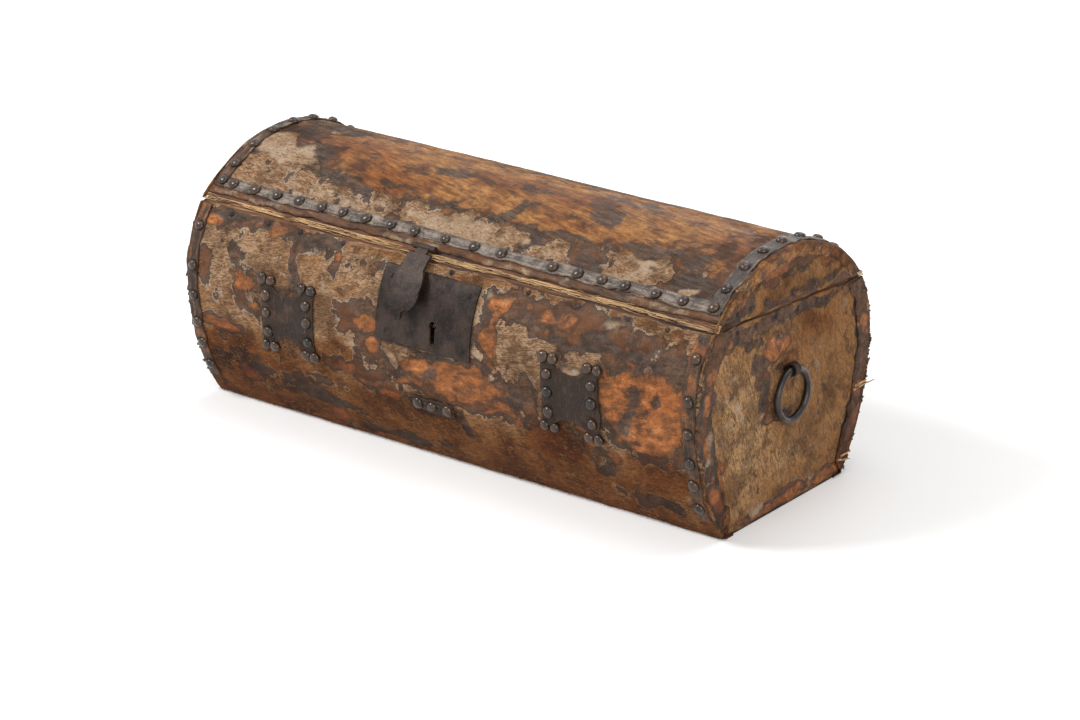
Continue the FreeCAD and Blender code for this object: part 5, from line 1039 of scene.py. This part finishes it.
class TRAVELBOX_OT_lid_hide(PieceOperator, bpy.types.Operator):
    """The hide over the lid"""
    bl_idname = "travel_box.lid_hide"
    bl_label = "Lid hide"

    def make(self, s, section):
        front = section.way_above_seam(6.5 * MM)
        back = section.way_above_seam(6.0 * MM, back=True)

        # The hide starts and ends just above the seam, front and back, and both edges wander.
        def low(u):
            return front + (1.5 * mottle(u, 0, 19 * MM, 5) + 0.8 * mottle(u, 2, 6 * MM, 5)) * MM

        def high(u):
            return back + (1.2 * mottle(u, 4, 19 * MM, 5) + 0.5 * mottle(u, 6, 6 * MM, 5)) * MM

        # The shade layer darkens the crown and the back, dirt and painted shade together; a bare hem lies
        # under the studded strip, and a roll along its edge.
        def dirt_and_shade(fields, u, way):
            crest = paint(u, way, 0, (
                (-120, 308, 60, 24, 0, 0.4), (40, 345, 100, 24, 0, 0.4), (-200, 340, 60, 20, 0, 0.25),
                (120, 305, 60, 16, 0, 0.2), (280, 335, 30, 30, 0, 0.4), (-285, 345, 30, 16, 0, 0.4)))
            fields["shade"] = shaded(0.3 * step((way - 395 * MM) / (50 * MM)) + crest + 0.02, u, way, 6)
            hem = step((242 * MM - way) / (4 * MM))
            for key, change in (("fur", -2.0), ("rust", -0.8), ("pale", 0.6), ("dark", 0.1)):
                fields[key] = fields[key] + change * hem
            fields["swell"] = 1.1 * MM * np.exp(-((way - low(u) - 3.4 * MM) / (2.6 * MM)) ** 2)

        shape = barrel_hide(s, section, low, high, s.lid_fold, 23, 30 * MM, 30 * MM,
                            plain_paints(LID_BARE, LID_RUST, LID_DARK, LID_PALE, 0.3), dirt_and_shade)
        solid("lid_skin", shape, "hair_on_hide_lid", "lid", ("lid_hide",), s.hide_thick)


class TRAVELBOX_OT_end_hides(PieceOperator, bpy.types.Operator):
    """The four flat skins on the ends of the body and the lid"""
    bl_idname = "travel_box.end_hides"
    bl_label = "End hides"

    def make(self, s, section):
        seam = s.seam_height
        crown = s.belly_height + s.crown_rise
        tacks = [(p, n[0]) for node in ("body_tacks", "lid_tacks") for p, n in nail_places(node, section)
                 if n[0] != 0]
        for sign, word in ((-1, "left"), (1, "right")):
            # The shade layer of an end, dirt and painted shade together: lighter all over and in a patch at
            # the front, a painted light that brightens the golden hair, and darker along the foot, under the
            # lid, towards the back and up at the back.
            def dirt_and_shade(fields, y, z):
                foot = 0.15 * step((40 * MM - z) / (40 * MM))
                top = 0.3 * step((z - 172 * MM) / (24 * MM))
                back = 0.22 * step((y - 10 * MM) / (70 * MM))
                # worn: painted light in a patch at the front, painted shade up at the back.
                worn = paint(y, z, 0, ((-66, 100, 40, 54, 0, -0.3), (44, 166, 46, 22, 0, 0.42)))
                fields["shade"] = shaded(foot + top + back + worn - 0.22, y, z, 7)
                stained(fields, y, z, [(p[1], p[2]) for p, side in tacks if side == sign], 7 * MM)

            # The lid's end skins: a little dirt and painted shade all over, and stains round the tacks.
            def lid_dirt_and_shade(fields, y, z):
                fields["shade"] = shaded(0.16, y, z, 8)
                stained(fields, y, z, [(p[1], p[2]) for p, side in tacks if side == sign], 7 * MM)

            for low, high, name, node, body, tables, soil_and_shade in (
                    (1.8 * MM, seam - 1.2 * MM, f"{word}_skin", f"{word}_end_hide", "body",
                     (END_BARE, END_RUST, END_DARK, END_PALE), dirt_and_shade),
                    (seam + 2.0 * MM, crown - 2.2 * MM, f"lid_{word}_skin", f"lid_{word}_end_hide", "lid",
                     (LID_END_BARE, LID_END_RUST, LID_END_DARK, ()), lid_dirt_and_shade)):
                shape = end_hide(s, section, sign, low, high, 60 if sign < 0 else 61,
                                 plain_paints(*tables, 0.75), soil_and_shade)
                solid(name, shape, "hair_on_hide_ends", body, (node,), END_HIDE_THICK)


class TRAVELBOX_OT_edging(PieceOperator, bpy.types.Operator):
    """The studded leather strips along the lid and down the corners"""
    bl_idname = "travel_box.edging"
    bl_label = "Edging strips"

    def make(self, s, section):
        studs = {node: [(p[0], section.way_of(p[1], p[2])) for p, _ in nail_places(node, section)]
                 for node in ("lid_front_studs", "lid_end_studs", "body_corner_studs")}
        low, high = (section.way_at_height(h * MM) for h in (219.9, 226.9))
        foot = section.way_at_height(24 * MM)
        top = section.way_above_seam(-3 * MM)
        back_top = 2 * section.apex - section.way_above_seam(-3 * MM, back=True)
        whole = 2 * section.apex
        over, front, rear = (low, whole - low), (foot, top), (whole - back_top, whole - foot)
        corner, brown = "body_corner_studs", "corner_leather_rubbed"
        strips = (("lid_front", -298, 290, (low, high), "lid_front_studs", "edging_leather_rubbed"),
                  ("lid_left", -304, -292, over, "lid_end_studs", "end_edging_hair_worn"),
                  ("lid_right", 289, 304, over, "lid_end_studs", "end_edging_leather_torn"),
                  ("body_front_left", -307, -294, front, corner, brown),
                  ("body_front_right", 293, 307, front, corner, brown),
                  ("body_back_left", -307, -293, rear, corner, brown),
                  ("body_back_right", 293, 307, rear, corner, brown))
        for seed, (name, left, right, ways, group, finish) in enumerate(strips, 1):
            shape = strip_sheet(section, left * MM, right * MM, *ways, studs[group], seed)
            solid(f"{name}_edging", shape, finish, name.split("_")[0], (f"{name}_strip",),
                  s.leather_thick)


class TRAVELBOX_OT_patches(PieceOperator, bpy.types.Operator):
    """The two spool-shaped leather patches and the scrap under the lock"""
    bl_idname = "travel_box.patches"
    bl_label = "Patches"

    def make(self, s, section):
        studs = [(p[0], section.way_of(p[1], p[2])) for p, _ in nail_places("patch_studs", section)]
        for node, seed in (("left_patch", 31), ("right_patch", 32), ("middle_patch", 33)):
            low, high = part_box(node)
            start, end = section.way_at_height(low[2]), section.way_at_height(high[2])
            points, faces, fields = strip_sheet(section, low[0], high[0], start, end, studs, seed)
            if node != "middle_patch":
                points = self.waisted(points, section, (low[0] + high[0]) / 2, (high[0] - low[0]) / 2,
                                      start, end, 19 * MM, seed)
            solid(node.replace("patch", "leather_patch"), (points, faces, fields), "patch_leather_dark",
                  "body", (node,), s.leather_thick)

    def waisted(self, points, section, middle, half, start, end, waist, seed):
        """Draws the upper and lower edges of a patch in: a point's way goes towards the patch's middle by
        the waist times 1 - (distance from the middle / half width) squared, and by 3.5 mm at the corners."""
        share = np.linspace(-1, 1, len(points))[:, None]
        x = points[..., 0]
        aside = np.minimum(np.abs(x - middle) / half, 1)
        hollow = waist * (1 - aside ** 2) + 3.5 * MM * np.maximum((aside - 0.78) / 0.22, 0) ** 2
        way = (start + end) / 2 + share * ((end - start) / 2 - hollow)
        way = way + 0.8 * MM * share * mottle(x, 0, 7 * MM, seed)
        y0, z0, out, up = section.at(start + (share + 1) / 2 * (end - start))
        lift = (points[..., 1] - y0) * out + (points[..., 2] - z0) * up
        y, z, out, up = section.at(way)
        return np.stack([x, y + out * lift, z + up * lift], -1)


class TRAVELBOX_OT_nails(PieceOperator, bpy.types.Operator):
    """Every domed stud and small tack that shows"""
    bl_idname = "travel_box.nails"
    bl_label = "Studs and tacks"

    def make(self, s, section):
        for node, body, seed in (("lid_front_studs", "lid", 1), ("lid_end_studs", "lid", 2),
                                 ("body_corner_studs", "body", 3), ("patch_studs", "body", 4)):
            nail_heads(node.replace("studs", "domes"), node, section, s.stud_width, s.stud_rise,
                       "forged_iron_nails", body, seed)
        for node, body, seed in (("body_tacks", "body", 5), ("lid_tacks", "lid", 6)):
            nail_heads(node + "_heads", node, section, s.tack_width, s.tack_rise, "forged_iron_plate", body,
                       seed, 4, 10)


class TRAVELBOX_OT_ironwork(PieceOperator, bpy.types.Operator):
    """Lock, hasp, hinges and rings: the finish of the CAD pieces, and the hammered rings"""
    bl_idname = "travel_box.ironwork"
    bl_label = "Ironwork"

    def make(self, s, section):
        for node in ("lock_plate", "lock_case", "bolt_guides", "lock_bolt", "lock_key_pin", "hasp",
                     "hasp_loop", "hasp_strap", "hasp_pin", "body_hinge_leaves", "lid_hinge_leaves",
                     "hinge_pins", "ring_eyes", "hasp_strap_nails", "body_board_nails", "lid_board_nails"):
            refinish(node, "forged_iron_plate")
        rings, sides = 72, 14
        for sign, word in ((-1, "left"), (1, "right")):
            low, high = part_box(f"{word}_ring")
            centre = (low + high) / 2
            wire = (high[0] - low[0]) / 2
            radius = (high[2] - low[2]) / 2 - wire
            turn = np.linspace(0, 2 * math.pi, rings, endpoint=False)
            path = np.stack([centre[0] + 0 * turn, centre[1] + radius * np.sin(turn),
                             centre[2] + radius * np.cos(turn)], -1)
            thick = wire * (1 + 0.05 * np.sin(3 * turn + sign) + 0.04 * np.sin(7 * turn))
            shape = upright_tube(path, thick, sides), quads(rings, sides, True, True, flip=True), {}
            solid(f"{word}_ring_handle", shape, "forged_iron_rings", f"{word}_ring",
                  (f"{word}_ring",))


class TRAVELBOX_OT_boards(PieceOperator, bpy.types.Operator):
    """The softwood boards under the skins"""
    bl_idname = "travel_box.boards"
    bl_label = "Boards"

    def make(self, s, section):
        for node in NODES:
            if "stave" in node or "board" in node and "nails" not in node:
                refinish(node, "old_softwood_end_board" if "end_board" in node else "old_softwood_board")


# Hairs that are tried on the body, on the lid and along the foot of the front, and the places along the box
# between which they lie, inside the corner strips.
BODY_HAIRS, LID_HAIRS, FOOT_HAIRS = 9000, 4000, 900
HAIR_FROM, HAIR_TO = -0.29, 0.286


class TRAVELBOX_OT_frayed_edges(PieceOperator, bpy.types.Operator):
    """Split wood along the seam, torn leather at the corners and short hair on the skins"""
    bl_idname = "travel_box.frayed_edges"
    bl_label = "Frayed edges and hair"

    def make(self, s, section):
        rng = np.random.default_rng(9)
        self.seam_splinters(s, section, rng)
        self.corner_shreds(s, section, rng)
        self.hair(s, section, rng)

    def seam_splinters(self, s, section, rng):
        """Slivers along the front seam and at its ends, and long splinters at the back of the right end."""
        count = 150  # slivers
        half = s.length / 2 - 4 * MM
        way = section.way_above_seam(0) + rng.uniform(0.6, 5.6, count) * MM
        x = rng.uniform(-half, half - 12 * MM, count)
        reach = np.minimum(x + rng.uniform(12, 75, count) * MM, half)
        lift = rng.uniform(-0.6, 1.2, count) * MM
        ends = []
        for at_x, at_way in ((x, way), (reach, way + rng.uniform(-1.5, 1.5, count) * MM)):
            y, z, out, up = section.at(at_way)
            ends.append(np.stack([at_x, y + out * lift, z + up * lift], -1))
        sag = np.stack([0 * x, rng.uniform(-0.6, 0.2, count) * MM, rng.uniform(-0.6, 0.6, count) * MM], -1)
        corners = [(side, back) for side in (-1, 1) for back in (False, True)]
        rises = (1.2, 2.4, 3.6, 4.8, 6.0)
        for side, back in corners:
            for rise in rises:
                y, z, out, up = section.at(section.way_above_seam(rise * MM, back))
                edge = s.length / 2 + rng.uniform(0.5, 1.8) * MM
                ends[0] = np.vstack([ends[0], [side * edge, y + 0.3 * out * MM, z + 0.3 * up * MM]])
                ends[1] = np.vstack([ends[1], [side * (half - 14 * MM), y - 2 * out * MM, z - 2 * up * MM]])
        sag = np.vstack([sag, np.zeros((len(corners) * len(rises), 3))])
        strands("seam_splinters", *ends, sag, 1.3 * MM, "split_wood_straw", "lid", "board", 10, 7)
        root = np.array([[309.6, 116, 81], [309.8, 118, 84], [309.6, 90, 17], [309.8, 96, 19]]) * MM
        tip = np.array([[312.0, 148, 82.5], [311.0, 136, 86], [311.6, 110, 12], [311, 112, 20]]) * MM
        strands("end_splinters", root, tip, 0 * root, 5.2 * MM, "split_wood_straw", "body", "board", 11, 6)

    def corner_shreds(self, s, section, rng):
        """Torn ends of the hide that stand off the corners, a little more on the back of the right end."""
        roots, tips = [], []
        for side, back, count, longest in (
                (1, False, 26, 2.0), (-1, False, 26, 2.0), (1, True, 12, 4.5), (1, True, 50, 1.8),
                (-1, True, 26, 2.4)):
            way = rng.uniform(4 * MM, section.way_above_seam(-4 * MM, False), count)
            way = 2 * section.apex - way if back else way
            y, z, out, up = section.at(way)
            root = np.stack([0 * y + side * (s.length / 2 - 1.2 * MM), y - out * MM, z - up * MM], -1)
            long = longest * rng.uniform(0.4, 1.0, count) ** 2 * MM
            away, slide = rng.uniform(0.1, 0.7, count), rng.normal(0, 1.1, count)
            off = 1.1 - away
            tip = root + np.stack([side * away, out * off - up * slide, up * off + out * slide],
                                  -1) * long[:, None]
            tip[:, 2] = np.maximum(tip[:, 2], 0.4 * MM)
            roots.append(root)
            tips.append(tip)
        roots, tips = np.concatenate(roots), np.concatenate(tips)
        strands("corner_shreds", roots, tips, 0 * roots, 6.5 * MM, "corner_leather_rubbed", "body",
                "edging", 13, 3)

    def hair(self, s, section, rng):
        """Short hairs lying along the box wherever the painted fur is, and a fringe along the foot."""
        for name, body, bare, rust, low, high, count in (
                ("body_hair", "body", FRONT_BARE, FRONT_RUST, 4 * MM, section.way_above_seam(-5 * MM),
                 BODY_HAIRS),
                ("lid_hair", "lid", LID_BARE, LID_RUST, 255 * MM, 350 * MM, LID_HAIRS)):
            x = rng.uniform(HAIR_FROM, HAIR_TO, count)
            way = rng.uniform(low, high, count)
            furry = paint(x, way, 0.5, bare) - 0.9 * np.maximum(paint(x, way, -0.75, rust), 0)
            keep = furry + rng.uniform(-0.5, 0.5, count) > 0.1
            self.lay(name, x[keep], way[keep], section, body, rng)
        count = FOOT_HAIRS
        x = rng.uniform(-s.length / 2 + 2 * MM, s.length / 2 - 2 * MM, count)
        way = rng.uniform(0.5, 5, count) * MM
        y, z, _, _ = section.at(way)
        roots = np.stack([x, y + 0.8 * MM, z + 0.8 * MM], -1)
        tips = roots + np.stack([rng.normal(0, 2.0, count), -rng.uniform(0.5, 4.5, count),
                                 rng.uniform(-3.0, 0.5, count)], -1) * MM
        tips[:, 2] = np.maximum(tips[:, 2], 0.3 * MM)
        strands("hem_hair", roots, tips, 0 * roots, 0.6 * MM, "loose_hair", "body", "hide", 12, 3)

    def lay(self, name, x, way, section, body, rng):
        """Hairs 2.5 to 6.5 mm long and 0.45 mm wide, some times wider than real ones so that they show. Each
        starts on the hide, runs along the box at a small angle and ends up to 1.4 mm above it."""
        count = len(x)
        long = rng.uniform(2.5, 6.5, count) * MM
        angle = rng.normal(0, 0.5, count)
        rise = rng.uniform(0.5, 1.4, count) * MM
        ends = []
        for at_x, at_way, lift in (
                (x, way, 0.1 * MM), (x + long * np.cos(angle), way + long * np.sin(angle), rise)):
            y, z, out, up = section.at(at_way)
            ends.append(np.stack([at_x, y + out * lift, z + up * lift], -1))
        strands(name, *ends, 0 * ends[0], 0.45 * MM, "loose_hair", body, "hide", 14, 3)


class TRAVELBOX_PT_panel(bpy.types.Panel):
    """Lists the steps in the sidebar"""
    bl_label = "Travel box"
    bl_idname = "TRAVELBOX_PT_panel"
    bl_space_type = "VIEW_3D"
    bl_region_type = "UI"
    bl_category = "Travel box"

    def draw(self, context):
        for operator in OPERATORS:
            self.layout.operator(operator.bl_idname)
        for group in (context.scene.travel_box_sizes, context.scene.travel_box_colours):
            for name in group.__annotations__:
                self.layout.prop(group, name)


OPERATORS = (TRAVELBOX_OT_stage, TRAVELBOX_OT_body_hides, TRAVELBOX_OT_lid_hide, TRAVELBOX_OT_end_hides,
             TRAVELBOX_OT_edging, TRAVELBOX_OT_patches, TRAVELBOX_OT_nails, TRAVELBOX_OT_ironwork,
             TRAVELBOX_OT_boards, TRAVELBOX_OT_frayed_edges)
CLASSES = (TravelBoxSizes, TravelBoxColours) + OPERATORS + (TRAVELBOX_PT_panel,)


def register():
    """Registers the classes and gives every scene its sizes and colours."""
    for cls in CLASSES:
        bpy.utils.register_class(cls)
    bpy.types.Scene.travel_box_sizes = PointerProperty(type=TravelBoxSizes)
    bpy.types.Scene.travel_box_colours = PointerProperty(type=TravelBoxColours)


def unregister():
    """Takes away what register() added, in the opposite order."""
    del bpy.types.Scene.travel_box_colours
    del bpy.types.Scene.travel_box_sizes
    for cls in reversed(CLASSES):
        bpy.utils.unregister_class(cls)


def main():
    """Runs the steps in their order."""
    register()
    for operator in OPERATORS:
        group, name = operator.bl_idname.split(".")
        getattr(getattr(bpy.ops, group), name)()


if __name__ == "__main__":
    main()
